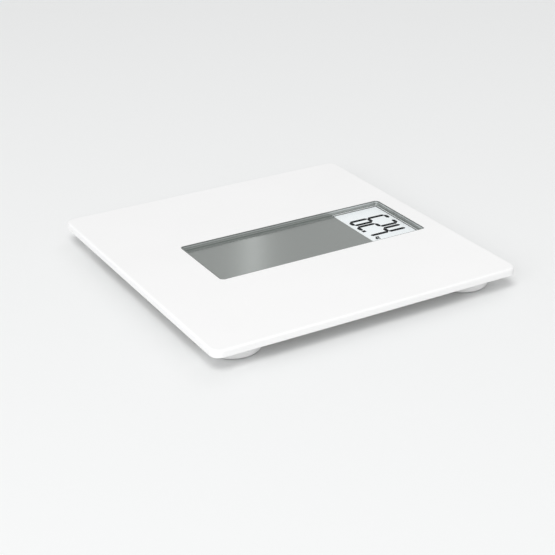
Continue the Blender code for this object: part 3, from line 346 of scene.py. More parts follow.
def new_recipe(name, sizes):
    """A Geometry Nodes tree with its sizes as named inputs, a material and a way out."""
    tree = bpy.data.node_groups.new(name, "GeometryNodeTree")
    tree.interface.new_socket("Geometry", in_out="INPUT", socket_type="NodeSocketGeometry")
    for size in sizes:
        tree.interface.new_socket(size, in_out="INPUT", socket_type="NodeSocketFloat")
    tree.interface.new_socket("Material", in_out="INPUT", socket_type="NodeSocketMaterial")
    tree.interface.new_socket("Geometry", in_out="OUTPUT", socket_type="NodeSocketGeometry")
    return tree, add_node(tree, "NodeGroupInput").outputs


def finish_recipe(tree, sizes, geometry):
    """Ends the tree in real, painted geometry."""
    real = add_node(tree, "GeometryNodeRealizeInstances", {"Geometry": geometry})
    painted = add_node(tree, "GeometryNodeSetMaterial",
                       {"Geometry": real.outputs[0], "Material": sizes["Material"]})
    add_node(tree, "NodeGroupOutput", {"Geometry": painted.outputs[0]})


def grown(name, tree, places, edges, sizes, material):
    """Runs a tree on points or edges, and keeps the outcome as a plain mesh."""
    start = bpy.data.meshes.new(name + "_places")
    start.from_pydata([(*p, 0)[:3] for p in places], edges, [])
    holder = bpy.data.objects.new(name + "_places", start)
    scene.collection.objects.link(holder)
    modifier = holder.modifiers.new("recipe", "NODES")
    modifier.node_group = tree
    for socket in tree.interface.items_tree:
        if socket.in_out == "INPUT" and socket.name in sizes:
            modifier[socket.identifier] = sizes[socket.name]
        elif socket.name == "Material":
            modifier[socket.identifier] = material
    mesh = bpy.data.meshes.new_from_object(holder.evaluated_get(bpy.context.evaluated_depsgraph_get()))
    mesh.name = name
    bpy.data.objects.remove(holder)
    mesh.shade_smooth()
    mesh.set_sharp_from_angle(angle=CREASE)
    return mesh


def kept(low, high, cuts):
    """The stretches from low to high that no cut covers."""
    stretches = []
    for start, end in sorted(cuts):
        if start > low:
            stretches.append((low, min(start, high)))
        low = max(low, end)
    return stretches + [(low, high)] if low < high else stretches


rib_ends, rib_edges = [], []
rib_middle = (RIB_BOTTOM + ROOT_TOP) / 2
rib_reach = DECK_HALF - DECK_WALL + ROOT
pan_half = WINDOW_HALF_WIDTH + PAN_WALL - ROOT
for line in RIB_LINES:
    off = line * RIB_PITCH
    for along_y in (True, False):
        if along_y and abs(off) < pan_half:
            continue
        cuts = []
        for x, y in CORNERS.values():
            across, along = (x, y) if along_y else (y, x)
            away = abs(off - across * FOOT_REACH)
            if away < FOOT_ROOM:
                half = math.sqrt(FOOT_ROOM ** 2 - away ** 2)
                cuts.append((along * FOOT_REACH - half, along * FOOT_REACH + half))
        if not along_y and abs(off - WINDOW_MIDDLE) < WINDOW_HALF_LENGTH + PAN_WALL:
            cuts.append((-pan_half, pan_half))
        for start, end in kept(-rib_reach, rib_reach, cuts):
            for place in (start, end):
                rib_ends.append((off, place, rib_middle) if along_y else (place, off, rib_middle))
            rib_edges.append((len(rib_ends) - 2, len(rib_ends) - 1))

rib_recipe, sizes = new_recipe("deck_ribs", ("Rib Thickness", "Rib Height"))
lines = add_node(rib_recipe, "GeometryNodeMeshToCurve", {"Mesh": sizes["Geometry"]})
upright = add_node(rib_recipe, "GeometryNodeSetCurveNormal", {"Curve": lines.outputs[0]}, mode="Z_UP")
section = add_node(rib_recipe, "GeometryNodeCurvePrimitiveQuadrilateral",
                   {"Width": sizes["Rib Thickness"], "Height": sizes["Rib Height"]})
swept = add_node(rib_recipe, "GeometryNodeCurveToMesh",
                 {"Curve": upright.outputs[0], "Profile Curve": section.outputs[0], "Fill Caps": True})
finish_recipe(rib_recipe, sizes, swept.outputs[0])

boss_recipe, sizes = new_recipe("screw_bosses", ("Boss Radius", "Hole Radius", "Bottom", "Hole Depth", "Top"))
tall = add_node(boss_recipe, "ShaderNodeMath", {0: sizes["Top"], 1: sizes["Bottom"]}, operation="SUBTRACT")
pillar = add_node(boss_recipe, "GeometryNodeMeshCylinder",
                  {"Vertices": BOSS_SIDES, "Radius": sizes["Boss Radius"], "Depth": tall.outputs[0]})
middle = add_node(boss_recipe, "ShaderNodeMath", {0: tall.outputs[0], 1: 2.0}, operation="DIVIDE")
lift = add_node(boss_recipe, "ShaderNodeCombineXYZ", {"Z": middle.outputs[0]})
pillar = add_node(boss_recipe, "GeometryNodeTransform",
                  {"Geometry": pillar.outputs[0], "Translation": lift.outputs[0]})
twice = add_node(boss_recipe, "ShaderNodeMath", {0: sizes["Hole Depth"], 1: 2.0}, operation="MULTIPLY")
bore = add_node(boss_recipe, "GeometryNodeMeshCylinder",
                {"Vertices": HOLE_SIDES, "Radius": sizes["Hole Radius"], "Depth": twice.outputs[0]})
bored = add_node(boss_recipe, "GeometryNodeMeshBoolean",
                 {"Mesh 1": pillar.outputs[0], "Mesh 2": bore.outputs[0]},
                 operation="DIFFERENCE", solver="EXACT")
height = add_node(boss_recipe, "ShaderNodeCombineXYZ", {"Z": sizes["Bottom"]})
raised_places = add_node(boss_recipe, "GeometryNodeSetPosition",
                         {"Geometry": sizes["Geometry"], "Offset": height.outputs[0]})
stood = add_node(boss_recipe, "GeometryNodeInstanceOnPoints",
                 {"Points": raised_places.outputs[0], "Instance": bored.outputs[0]})
finish_recipe(boss_recipe, sizes, stood.outputs[0])

for name, recipe, places, edges, values in (
        ("deck_ribs", rib_recipe, rib_ends, rib_edges,
         {"Rib Thickness": RIB, "Rib Height": ROOT_TOP - RIB_BOTTOM}),
        ("deck_screw_bosses", boss_recipe, SCREW_PLACES, [],
         {"Boss Radius": BOSS_RADIUS, "Hole Radius": BOSS_HOLE, "Bottom": BOSS_BOTTOM,
          "Hole Depth": BOSS_DEPTH, "Top": ROOT_TOP}),
        ("deck_display_bosses", boss_recipe, EAR_PLACES, [],
         {"Boss Radius": EAR_BOSS_RADIUS, "Hole Radius": EAR_BOSS_HOLE, "Bottom": PAN_BOTTOM,
          "Hole Depth": EAR_BOSS_DEPTH, "Top": ROOT_TOP})):
    piece = new_piece(name, grown(name, recipe, places, edges, values, satin_abs), satin_abs)
    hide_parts("deck")
    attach(piece, "scale")


# Inlay tray: one stainless sheet, 0.6 mm thick, that lies in the deck's window. It is brushed along its
# length, folded up all round and pierced over the display. Its sheared rim stands just below the deck's top.
TRAY_GAP = 0.3 * MM
SHEET = 0.6 * MM
PANEL_TOP = 17 * MM
PANEL_BOTTOM = PANEL_TOP - SHEET
RIM_DROP = 0.3 * MM
TRAY_RIM = DECK_TOP - RIM_DROP
TRAY_FOLD = 0.9 * MM
OPENING_CORNER = 0.9 * MM
SHEAR_BURR = 0.08 * MM

fold = outline(WINDOW_HALF_WIDTH - TRAY_GAP, WINDOW_HALF_LENGTH - TRAY_GAP, WINDOW_CORNER - TRAY_GAP,
               WINDOW_MIDDLE)
opening = outline(DISPLAY_HALF_WIDTH, DISPLAY_HALF_LENGTH, OPENING_CORNER, DISPLAY_MIDDLE)
tray_rings = [*rolled(fold, SHEET - SHEAR_BURR, TRAY_RIM - SHEAR_BURR, SHEAR_BURR, 180, 90, steps=2),
              *rolled(fold, SHEAR_BURR, TRAY_RIM - SHEAR_BURR, SHEAR_BURR, 90, 0, steps=2),
              fold(0, TRAY_RIM - SHEAR_BURR - HOLD),
              fold(0, PANEL_BOTTOM + TRAY_FOLD + HOLD),
              *rolled(fold, TRAY_FOLD, PANEL_BOTTOM + TRAY_FOLD, TRAY_FOLD, 0, -90, steps=6),
              fold(TRAY_FOLD + HOLD, PANEL_BOTTOM),
              opening(-HOLD, PANEL_BOTTOM),
              opening(0, PANEL_BOTTOM + HOLD / 2),
              opening(0, PANEL_TOP - HOLD / 2),
              opening(-HOLD / 2, PANEL_TOP),
              opening(-HOLD, PANEL_TOP),
              fold(TRAY_FOLD + HOLD, PANEL_TOP),
              *rolled(fold, TRAY_FOLD, PANEL_BOTTOM + TRAY_FOLD, TRAY_FOLD - SHEET, -90, 0, steps=5),
              fold(SHEET, PANEL_BOTTOM + TRAY_FOLD + HOLD),
              fold(SHEET, TRAY_RIM - SHEAR_BURR - HOLD)]
tray_mesh = lofted("steel_tray", tray_rings)

BRUSH_PITCH = 0.55 * MM
BRUSH_STROKE = 45 * MM
UV_SPAN = 0.2
FLAT_SHARE = 0.9


def lay_uv(mesh, span):
    """The sheet unfolded flat, so that the brushing keeps its direction over the folds."""
    layer = mesh.uv_layers.new(name="flat")
    for face in mesh.polygons:
        sideways = abs(face.normal.x) > abs(face.normal.y)
        for index in face.loop_indices:
            x, y, z = mesh.vertices[mesh.loops[index].vertex_index].co
            layer.data[index].uv = ((x + z) / span, y / span) if sideways else (x / span, (y + z) / span)


lay_uv(tray_mesh, UV_SPAN)

# Brushed stainless steel: fine strokes along the sheet draw each highlight out into a band across it.
# Real strokes are 0.1 mm apart; they are drawn more than five times as coarse, so that they show.
brushed_steel, tree, out = new_material("brushed_stainless_steel")
place = add_node(tree, "ShaderNodeTexCoord").outputs["Object"]
stretch = add_node(tree, "ShaderNodeMapping",
                   {"Vector": place, "Scale": (1 / BRUSH_PITCH, 1 / BRUSH_STROKE, 1 / BRUSH_PITCH)})
strokes = add_node(tree, "ShaderNodeTexNoise",
                   {"Vector": stretch.outputs[0], "Scale": 1.0, "Detail": 4.0, "Roughness": 0.7})
grind = add_node(tree, "ShaderNodeMapRange",
                 {"Value": strokes.outputs[0], "From Min": NOISE_LOW, "From Max": NOISE_HIGH,
                  "To Min": 0.115, "To Max": 0.145})
tone = add_node(tree, "ShaderNodeMix",
                {0: strokes.outputs[0], FIRST_COLOUR: linear("#BEC3C0"), SECOND_COLOUR: linear("#C6CBC8")},
                data_type="RGBA")
scratch = add_node(tree, "ShaderNodeBump",
                   {"Height": strokes.outputs[0], "Strength": 0.25, "Distance": 0.01 * MM})
along = add_node(tree, "ShaderNodeTangent", direction_type="UV_MAP", uv_map="flat")
metal = add_node(tree, "ShaderNodeBsdfPrincipled",
                 {"Base Color": tone.outputs[2], "Metallic": 1.0, "Roughness": grind.outputs[0],
                  "Anisotropic": 0.95, "Normal": scratch.outputs[0], "Tangent": along.outputs[0]})
tree.links.new(metal.outputs[0], out.inputs["Surface"])

# Folded walls of the same sheet, dull from the mill, with light and shade painted in bands by height: a pale
# painted reflection half way up, painted shade a little above the fold, and a painted shadow at the rim
WALL_PAINTED_LIGHT_BANDS = ((0.0, "#CDD0CF"), (0.2, "#B4B7B6"), (0.4, "#B4B7B6"), (0.55, "#DDE0DF"), (0.74, "#D5D8D7"),
              (0.86, "#999C9C"), (1.0, "#4A4D4D"))
wall_steel_painted_light, tree, out = new_material("folded_steel_painted_light")
place = add_node(tree, "ShaderNodeTexCoord").outputs["Object"]
split = add_node(tree, "ShaderNodeSeparateXYZ", {0: place})
level = add_node(tree, "ShaderNodeMapRange",
                 {"Value": split.outputs["Z"], "From Min": PANEL_TOP, "From Max": TRAY_RIM})
painted_wall_tones = add_node(tree, "ShaderNodeValToRGB", {"Fac": level.outputs[0]})
bands = painted_wall_tones.color_ramp.elements
for position, colour in WALL_PAINTED_LIGHT_BANDS[1:-1]:
    bands.new(position).color = linear(colour)
bands[0].color = linear(WALL_PAINTED_LIGHT_BANDS[0][1])
bands[-1].color = linear(WALL_PAINTED_LIGHT_BANDS[-1][1])
stretch = add_node(tree, "ShaderNodeMapping",
                   {"Vector": place, "Scale": (1 / BRUSH_STROKE, 1 / BRUSH_STROKE, 1 / BRUSH_PITCH)})
streaks = add_node(tree, "ShaderNodeTexNoise", {"Vector": stretch.outputs[0], "Scale": 1.0, "Detail": 3.0})
rubbed = add_node(tree, "ShaderNodeMapRange", {"Value": streaks.outputs[0], "To Min": 0.52, "To Max": 0.62})
metal = add_node(tree, "ShaderNodeBsdfPrincipled",
                 {"Base Color": painted_wall_tones.outputs[0], "Metallic": 1.0, "Roughness": rubbed.outputs[0]})
tree.links.new(metal.outputs[0], out.inputs["Surface"])

tray = new_piece("steel_tray", tray_mesh, brushed_steel)
# The folded walls take the steel with bands of painted light and shade
tray_mesh.materials.append(wall_steel_painted_light)
for face in tray_mesh.polygons:
    if face.center.z > PANEL_TOP + HOLD and abs(face.normal.z) < FLAT_SHARE:
        face.material_index = 1
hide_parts("inlay_tray")
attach(tray, "scale")


# Display: a liquid-crystal glass, lit from behind by a white guide, under a clear window in the panel.
# Its digits are seven-segment shapes that darken in the glass; here they show a weight in kilograms.
GLASS_TOP = 14.85 * MM
SEGMENT_LIFT = 0.03 * MM
SEGMENT_FILM = 0.05 * MM
DIGIT_BOTTOM = 85.2 * MM
DIGIT_TOP = 124.3 * MM
DIGIT_WAIST = 105.2 * MM
DIGIT_REACH = 4.25 * MM
STROKE = 3.7 * MM
STROKE_GAP = 0.22 * MM
SLANT = 0.018
DIGITS = (("acdefg", -13.6 * MM), ("abdeg", -0.4 * MM), ("bcfg", 13.2 * MM))
POINT_PLACE = (5.5 * MM, 85.6 * MM)
UNIT_PLACE = (21.3 * MM, 87.0 * MM)
UNIT_SIZE = 6 * MM
UNIT_WEIGHT = 0.25 * MM
UNIT_BEND_STEPS = 4
SEGMENTS = {"a": ((-1, 1), (1, 1)), "b": ((1, 1), (1, 0)), "c": ((1, 0), (1, -1)), "d": ((-1, -1), (1, -1)),
            "e": ((-1, 0), (-1, -1)), "f": ((-1, 1), (-1, 0)), "g": ((-1, 0), (1, 0))}


def raised(name, polygons, bottom, height):
    """Flat outlines drawn up to a height, as one mesh."""
    made = bmesh.new()
    for points in polygons:
        face = made.faces.new([made.verts.new((x, y, bottom)) for x, y in points])
        drawn = bmesh.ops.extrude_face_region(made, geom=[face])["geom"]
        tops = [v for v in drawn if isinstance(v, bmesh.types.BMVert)]
        bmesh.ops.translate(made, vec=(0, 0, height), verts=tops)
    bmesh.ops.recalc_face_normals(made, faces=made.faces)
    mesh = bpy.data.meshes.new(name)
    made.to_mesh(mesh)
    made.free()
    return mesh


def stroke_outline(start, end):
    """A segment with pointed ends, a little short of both of its corners."""
    a, b = Vector(start), Vector(end)
    along = (b - a).normalized()
    across = Vector((-along.y, along.x)) * STROKE / 2
    a, b = a + along * STROKE_GAP, b - along * STROKE_GAP
    shoulder = along * STROKE / 2
    return [a, a + shoulder - across, b - shoulder - across, b, b - shoulder + across, a + shoulder + across]


shapes = []
for lit, middle in DIGITS:
    for key in lit:
        ends = []
        for x, y in SEGMENTS[key]:
            level = {-1: DIGIT_BOTTOM, 0: DIGIT_WAIST, 1: DIGIT_TOP}[y]
            ends.append((middle + x * DIGIT_REACH + SLANT * (level - DIGIT_WAIST), level))
        shapes.append(stroke_outline(*ends))
shapes.append([(POINT_PLACE[0] + x * STROKE / 2, POINT_PLACE[1] + y * STROKE / 2) for x, y in SQUARE])
unit_text = bpy.data.curves.new("unit_text", "FONT")
unit_text.body = "kg"
unit_text.size = UNIT_SIZE
unit_text.resolution_u = UNIT_BEND_STEPS
unit_text.extrude = SEGMENT_FILM / 2
unit_text.offset = UNIT_WEIGHT
written = bpy.data.objects.new("unit_text", unit_text)
scene.collection.objects.link(written)
unit_mesh = bpy.data.meshes.new_from_object(written.evaluated_get(bpy.context.evaluated_depsgraph_get()))
bpy.data.objects.remove(written)
unit_mesh.transform(Matrix.Translation((*UNIT_PLACE, GLASS_TOP + SEGMENT_LIFT + SEGMENT_FILM / 2)))
digit_mesh = raised("display_digits", shapes, GLASS_TOP + SEGMENT_LIFT, SEGMENT_FILM)
both = bmesh.new()
both.from_mesh(digit_mesh)
both.from_mesh(unit_mesh)
both.to_mesh(digit_mesh)
both.free()

# Darkened liquid crystal: near black and matt, because the gloss is the lens's above it
dark_crystal, tree, out = new_material("darkened_liquid_crystal")
place = add_node(tree, "ShaderNodeTexCoord").outputs["Object"]
depth = add_node(tree, "ShaderNodeTexNoise", {"Vector": place, "Scale": 1 / (6 * MM)})
tone = add_node(tree, "ShaderNodeMix",
                {0: depth.outputs[0], FIRST_COLOUR: linear("#050607"), SECOND_COLOUR: linear("#0B0D0F")},
                data_type="RGBA")
ink = add_node(tree, "ShaderNodeBsdfPrincipled",
               {"Base Color": tone.outputs[2], "Roughness": 0.5, "Specular IOR Level": 0.0})
tree.links.new(ink.outputs[0], out.inputs["Surface"])
digits = new_piece("display_digits", digit_mesh, dark_crystal)
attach(digits, "scale")

# Lit liquid-crystal glass: a milky white polariser, a shade bluer than the deck. Its light comes in at the
# front edge and fades a little towards the back.
lit_glass, tree, out = new_material("lit_display_glass")
place = add_node(tree, "ShaderNodeTexCoord").outputs["Object"]
split = add_node(tree, "ShaderNodeSeparateXYZ", {0: place})
fade = add_node(tree, "ShaderNodeMapRange",
                {"Value": split.outputs["Y"], "From Min": DISPLAY_MIDDLE - DISPLAY_HALF_LENGTH,
                 "From Max": DISPLAY_MIDDLE + DISPLAY_HALF_LENGTH})
glow = add_node(tree, "ShaderNodeMix",
                {0: fade.outputs[0], FIRST_COLOUR: linear("#6A6D6E"), SECOND_COLOUR: linear("#5E6162")},
                data_type="RGBA")
grain = add_node(tree, "ShaderNodeTexNoise", {"Vector": place, "Scale": 1 / (0.6 * MM)})
milk = add_node(tree, "ShaderNodeMix",
                {0: grain.outputs[0], FIRST_COLOUR: linear("#E1E5E7"), SECOND_COLOUR: linear("#E8ECED")},
                data_type="RGBA")
screen = add_node(tree, "ShaderNodeBsdfPrincipled",
                  {"Base Color": milk.outputs[2], "Roughness": 0.45, "IOR": 1.5,
                   "Emission Color": glow.outputs[2], "Emission Strength": 1.0})
tree.links.new(screen.outputs[0], out.inputs["Surface"])

# Clear polycarbonate lens: nearly all light goes through it, and a thin reflection is left
clear_lens, tree, out = new_material("clear_polycarbonate")
place = add_node(tree, "ShaderNodeTexCoord").outputs["Object"]
smear = add_node(tree, "ShaderNodeTexNoise", {"Vector": place, "Scale": 1 / (18 * MM)})
haze = add_node(tree, "ShaderNodeMapRange", {"Value": smear.outputs[0], "To Min": 0.02, "To Max": 0.08})
pane = add_node(tree, "ShaderNodeBsdfPrincipled",
                {"Base Color": linear("#F2F6F8"), "Roughness": haze.outputs[0], "IOR": 1.58, "Alpha": 0.02})
tree.links.new(pane.outputs[0], out.inputs["Surface"])


# Feet: each a turned cap in white ABS that slides in the cover's pocket, and a grey rubber pad let in below.
# They are drawn with enough sides to look round, on the CAD caps' own profile. The boss in the cap stops
# 0.55 mm under the load cell, a little more than the foot's travel.
ROUND_STEPS = 96
ROUND_CREASE = math.radians(32)
SAME_POINT = 0.001 * MM
CAP_RADIUS = 24 * MM
CAP_INNER = 22.4 * MM
CAP_RIM = 10.8 * MM
CAP_EDGE = 0.4 * MM
CAP_FLOOR = 3.8 * MM
CAP_BEND = 0.6 * MM
CAP_BOTTOM = 1 * MM
CAP_BOTTOM_BEND = 3 * MM
CAP_BOTTOM_HOLD = 0.15 * MM
CAP_BOSS_RADIUS = 6 * MM
CAP_BOSS_TOP = 12.35 * MM
CAP_BORE = 2.2 * MM
CAP_BORE_BOTTOM = 4.1 * MM
PAD_SEAT_RADIUS = 20.8 * MM
PAD_SEAT_TOP = 1.8 * MM
PAD_RADIUS = 20.5 * MM
PAD_TOP = 1.5 * MM
PAD_BEND = 0.6 * MM
PAD_CHAMFER = 0.1 * MM
GROOVE_OUTER = 16.4 * MM
GROOVE_INNER = 14.8 * MM
GROOVE_DEPTH = 0.5 * MM


def arc(radius, height, bend, first, last, steps):
    """Points of a profile round a bend's centre, in degrees from straight out."""
    turns = [math.radians(first + (last - first) * i / steps) for i in range(steps + 1)]
    return [(radius + bend * math.cos(a), height + bend * math.sin(a)) for a in turns]


def turned(name, profile, centre):
    """A profile of radii and heights, turned about an upright axis."""
    made = bmesh.new()
    turns = [2 * math.pi * i / ROUND_STEPS for i in range(ROUND_STEPS)]
    loops = []
    for radius, height in profile:
        loops.append([made.verts.new((centre[0] + radius * math.cos(a),
                                      centre[1] + radius * math.sin(a), height)) for a in turns])
    for a, b in zip(loops, loops[1:]):
        for i in range(ROUND_STEPS):
            made.faces.new((a[i], a[(i + 1) % ROUND_STEPS], b[(i + 1) % ROUND_STEPS], b[i]))
    bmesh.ops.remove_doubles(made, verts=made.verts, dist=SAME_POINT)
    bmesh.ops.recalc_face_normals(made, faces=made.faces)
    mesh = bpy.data.meshes.new(name)
    made.to_mesh(mesh)
    made.free()
    mesh.shade_smooth()
    mesh.set_sharp_from_angle(angle=ROUND_CREASE)
    return mesh


cap_profile = [(0, CAP_BORE_BOTTOM),
               (CAP_BORE, CAP_BORE_BOTTOM),
               (CAP_BORE, CAP_BOSS_TOP),
               *arc(CAP_BOSS_RADIUS - CAP_EDGE, CAP_BOSS_TOP - CAP_EDGE, CAP_EDGE, 90, 0, steps=3),
               (CAP_BOSS_RADIUS, CAP_FLOOR + CAP_BEND),
               *arc(CAP_BOSS_RADIUS + CAP_BEND, CAP_FLOOR + CAP_BEND, CAP_BEND, 180, 270, steps=3),
               (CAP_INNER - CAP_EDGE, CAP_FLOOR),
               *arc(CAP_INNER - CAP_BEND, CAP_FLOOR + CAP_BEND, CAP_BEND, -90, 0, steps=3),
               *arc(CAP_INNER + CAP_EDGE, CAP_RIM - CAP_EDGE, CAP_EDGE, 180, 90, steps=3),
               *arc(CAP_RADIUS - CAP_EDGE, CAP_RIM - CAP_EDGE, CAP_EDGE, 90, 0, steps=4),
               (CAP_RADIUS, CAP_BOTTOM + CAP_BOTTOM_BEND + CAP_BOTTOM_HOLD),
               *arc(CAP_RADIUS - CAP_BOTTOM_BEND, CAP_BOTTOM + CAP_BOTTOM_BEND, CAP_BOTTOM_BEND, 0, -90,
                    steps=10),
               (PAD_SEAT_RADIUS + PAD_CHAMFER, CAP_BOTTOM),
               (PAD_SEAT_RADIUS, CAP_BOTTOM + PAD_CHAMFER),
               (PAD_SEAT_RADIUS, PAD_SEAT_TOP),
               (0, PAD_SEAT_TOP)]
pad_profile = [(0, PAD_TOP),
               (PAD_RADIUS - PAD_CHAMFER, PAD_TOP),
               (PAD_RADIUS, PAD_TOP - PAD_CHAMFER),
               (PAD_RADIUS, PAD_BEND),
               *arc(PAD_RADIUS - PAD_BEND, PAD_BEND, PAD_BEND, 0, -90, steps=4),
               (GROOVE_OUTER + PAD_CHAMFER, 0),
               (GROOVE_OUTER, PAD_CHAMFER),
               (GROOVE_OUTER, GROOVE_DEPTH),
               (GROOVE_INNER, GROOVE_DEPTH),
               (GROOVE_INNER, PAD_CHAMFER),
               (GROOVE_INNER - PAD_CHAMFER, 0),
               (0, 0)]

# Moulded rubber: pale grey and dull, with the fine bloom of a mould that was sand-blasted
pad_rubber = moulded_plastic("moulded_grey_rubber", "#B9BBBB", roughness=0.78, spread=0.05, grain=0.7 * MM,
                             relief=0.05 * MM, ior=1.52)
for corner, (x, y) in CORNERS.items():
    centre = (x * FOOT_REACH, y * FOOT_REACH)
    cap_name, pad_name = f"foot_cap_{corner}_turned", f"foot_pad_{corner}_turned"
    cap = new_piece(cap_name, turned(cap_name, cap_profile, centre), satin_abs)
    pad = new_piece(pad_name, turned(pad_name, pad_profile, centre), pad_rubber)
    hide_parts(f"foot_cap_{corner}")
    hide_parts(f"foot_pad_{corner}")
    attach(cap, f"foot_{corner}")
    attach(pad, f"foot_{corner}")
    underside.objects.link(pad)


# Housing and inner pieces: the base cover with its door and button, the board with its chip and switch, the
# cell, the contacts, the load cells, the gauges, the leads and the ribbon. Their shapes are right as the CAD
# has them, and here they get the finishes of what they are made of, which the last loop lays on.

# Spark-eroded ABS of the base cover, its door and its button: a greyer white, matt, with no sharp highlight
cover_abs = moulded_plastic("spark_eroded_white_abs", "#D2D2CF", roughness=0.55, spread=0.04, grain=0.8 * MM,
                            relief=0.03 * MM)
# Black ABS of chip and switch, and the softer plastic round the leads: dark, with a dim, broad sheen
black_abs = moulded_plastic("moulded_black_abs", "#1A1B1C", roughness=0.5, spread=0.05, grain=0.8 * MM,
                            relief=0.02 * MM)
sheath = moulded_plastic("black_lead_sheath", "#232425", roughness=0.55, spread=0.05, grain=1.2 * MM,
                         relief=0.02 * MM)

COAT_DRIFT = 4 * MM
COAT_SPREAD = 0.08


def tracked(name, mask, track, length, width, line, roughness, ior):
    """Copper tracks under a thin coat: they show through as paler lines that stand a little proud."""
    made, tree, out = new_material(name)
    place = add_node(tree, "ShaderNodeTexCoord").outputs["Object"]
    runs = add_node(tree, "ShaderNodeTexBrick",
                    {"Vector": place, "Color1": linear(mask), "Color2": linear(mask), "Mortar": linear(track),
                     "Scale": 1.0, "Mortar Size": line, "Mortar Smooth": 0.2, "Brick Width": length,
                     "Row Height": width}, offset=0.37, squash=0.7)
    relief = add_node(tree, "ShaderNodeBump",
                      {"Height": runs.outputs["Fac"], "Strength": 0.6, "Distance": 0.03 * MM})
    coat = add_node(tree, "ShaderNodeTexNoise", {"Vector": place, "Scale": 1 / COAT_DRIFT})
    shine = add_node(tree, "ShaderNodeMapRange",
                     {"Value": coat.outputs[0], "To Min": roughness - COAT_SPREAD,
                      "To Max": roughness + COAT_SPREAD})
    face = add_node(tree, "ShaderNodeBsdfPrincipled",
                    {"Base Color": runs.outputs["Color"], "IOR": ior, "Roughness": shine.outputs[0],
                     "Normal": relief.outputs[0]})
    tree.links.new(face.outputs[0], out.inputs["Surface"])
    return made


# Polyimide film: amber and glossy, with fine conductors along it
polyimide = tracked("amber_polyimide_film", mask="#A8641C", track="#D39A4E", length=60 * MM, width=1 * MM,
                    line=0.18 * MM, roughness=0.25, ior=1.7)
# Solder mask: a green gloss with the copper's layout in relief under it
solder_mask = tracked("green_solder_mask", mask="#17502C", track="#3F8A52", length=5.5 * MM, width=2.1 * MM,
                      line=0.16 * MM, roughness=0.3, ior=1.5)

PLATE_GRAIN = 1.5 * MM

# Nickel-plated spring steel of the load cells, contacts and screws: bright, a little warm, and with a shine
# that the grain of the rolled sheet below it breaks up
nickel_plate, tree, out = new_material("nickel_plated_steel")
place = add_node(tree, "ShaderNodeTexCoord").outputs["Object"]
patches = add_node(tree, "ShaderNodeTexNoise", {"Vector": place, "Scale": 1 / PLATE_GRAIN, "Detail": 3.0})
shine = add_node(tree, "ShaderNodeMapRange",
                 {"Value": patches.outputs[0], "From Min": NOISE_LOW, "From Max": NOISE_HIGH,
                  "To Min": 0.22, "To Max": 0.36})
relief = add_node(tree, "ShaderNodeBump",
                  {"Height": patches.outputs[0], "Strength": 0.3, "Distance": 0.01 * MM})
metal = add_node(tree, "ShaderNodeBsdfPrincipled",
                 {"Base Color": linear("#C9C5BC"), "Metallic": 1.0, "Roughness": shine.outputs[0],
                  "Normal": relief.outputs[0]})
tree.links.new(metal.outputs[0], out.inputs["Surface"])


# Screws: pan heads with a cross recess and a coarse thread, rolled in steel wire and then plated. Eight go up
# through the cover's wells, four through the display frame's ears, and two down through the board.
SCREW_SIZES = {"Head Radius": 2.9 * MM, "Head Height": 1.3 * MM, "Shank Radius": 1.5 * MM, "Length": 10 * MM,
               "Thread Pitch": 1.1 * MM}
PIN_SIZES = {"Head Radius": 1.8 * MM, "Head Height": 1.1 * MM, "Shank Radius": 0.9 * MM, "Length": 3.5 * MM,
             "Thread Pitch": 0.7 * MM}
BASE_SCREW_HEAD = 5.9 * MM
EAR_SCREW_HEAD = 11.5 * MM
BOARD_SCREW_HEAD = 13.85 * MM
BOARD_SCREW_PLACES = [(-31 * MM, 32 * MM), (31 * MM, 70.7 * MM)]
HEAD_SIDES = 32
SHANK_SIDES = 20
THREAD_STEPS = 20
RIDGE_SIDES = 4
# Shares of the head's radius
RECESS_LENGTH_SHARE = 1.15
RECESS_WIDTH_SHARE = 0.26
# Share of the shank's radius that is left under the thread, and shares of its length
CORE_SHARE = 0.8
THREADED_SHARE = 0.86
THREAD_START_SHARE = 0.06
# The collar is the upper half of the head, so its middle is this many halves up
COLLAR_MIDDLE = 1.5

screw_recipe, sizes = new_recipe("cross_recess_screws", (*SCREW_SIZES, "Turned Over"))
half_head = add_node(screw_recipe, "ShaderNodeMath", {0: sizes["Head Height"], 1: 2.0}, operation="DIVIDE")
face_radius = add_node(screw_recipe, "ShaderNodeMath",
                       {0: sizes["Head Radius"], 1: half_head.outputs[0]}, operation="SUBTRACT")
bevelled = add_node(screw_recipe, "GeometryNodeMeshCone",
                    {"Vertices": HEAD_SIDES, "Radius Top": sizes["Head Radius"],
                     "Radius Bottom": face_radius.outputs[0], "Depth": half_head.outputs[0]})
collar = add_node(screw_recipe, "GeometryNodeMeshCylinder",
                  {"Vertices": HEAD_SIDES, "Radius": sizes["Head Radius"], "Depth": half_head.outputs[0]})
collar_height = add_node(screw_recipe, "ShaderNodeMath",
                         {0: half_head.outputs[0], 1: COLLAR_MIDDLE}, operation="MULTIPLY")
collar_lift = add_node(screw_recipe, "ShaderNodeCombineXYZ", {"Z": collar_height.outputs[0]})
collar = add_node(screw_recipe, "GeometryNodeTransform",
                  {"Geometry": collar.outputs[0], "Translation": collar_lift.outputs[0]})
head = add_node(screw_recipe, "GeometryNodeMeshBoolean",
                {"Mesh 2": bevelled.outputs[0]}, operation="UNION", solver="EXACT")
screw_recipe.links.new(collar.outputs[0], head.inputs["Mesh 2"])

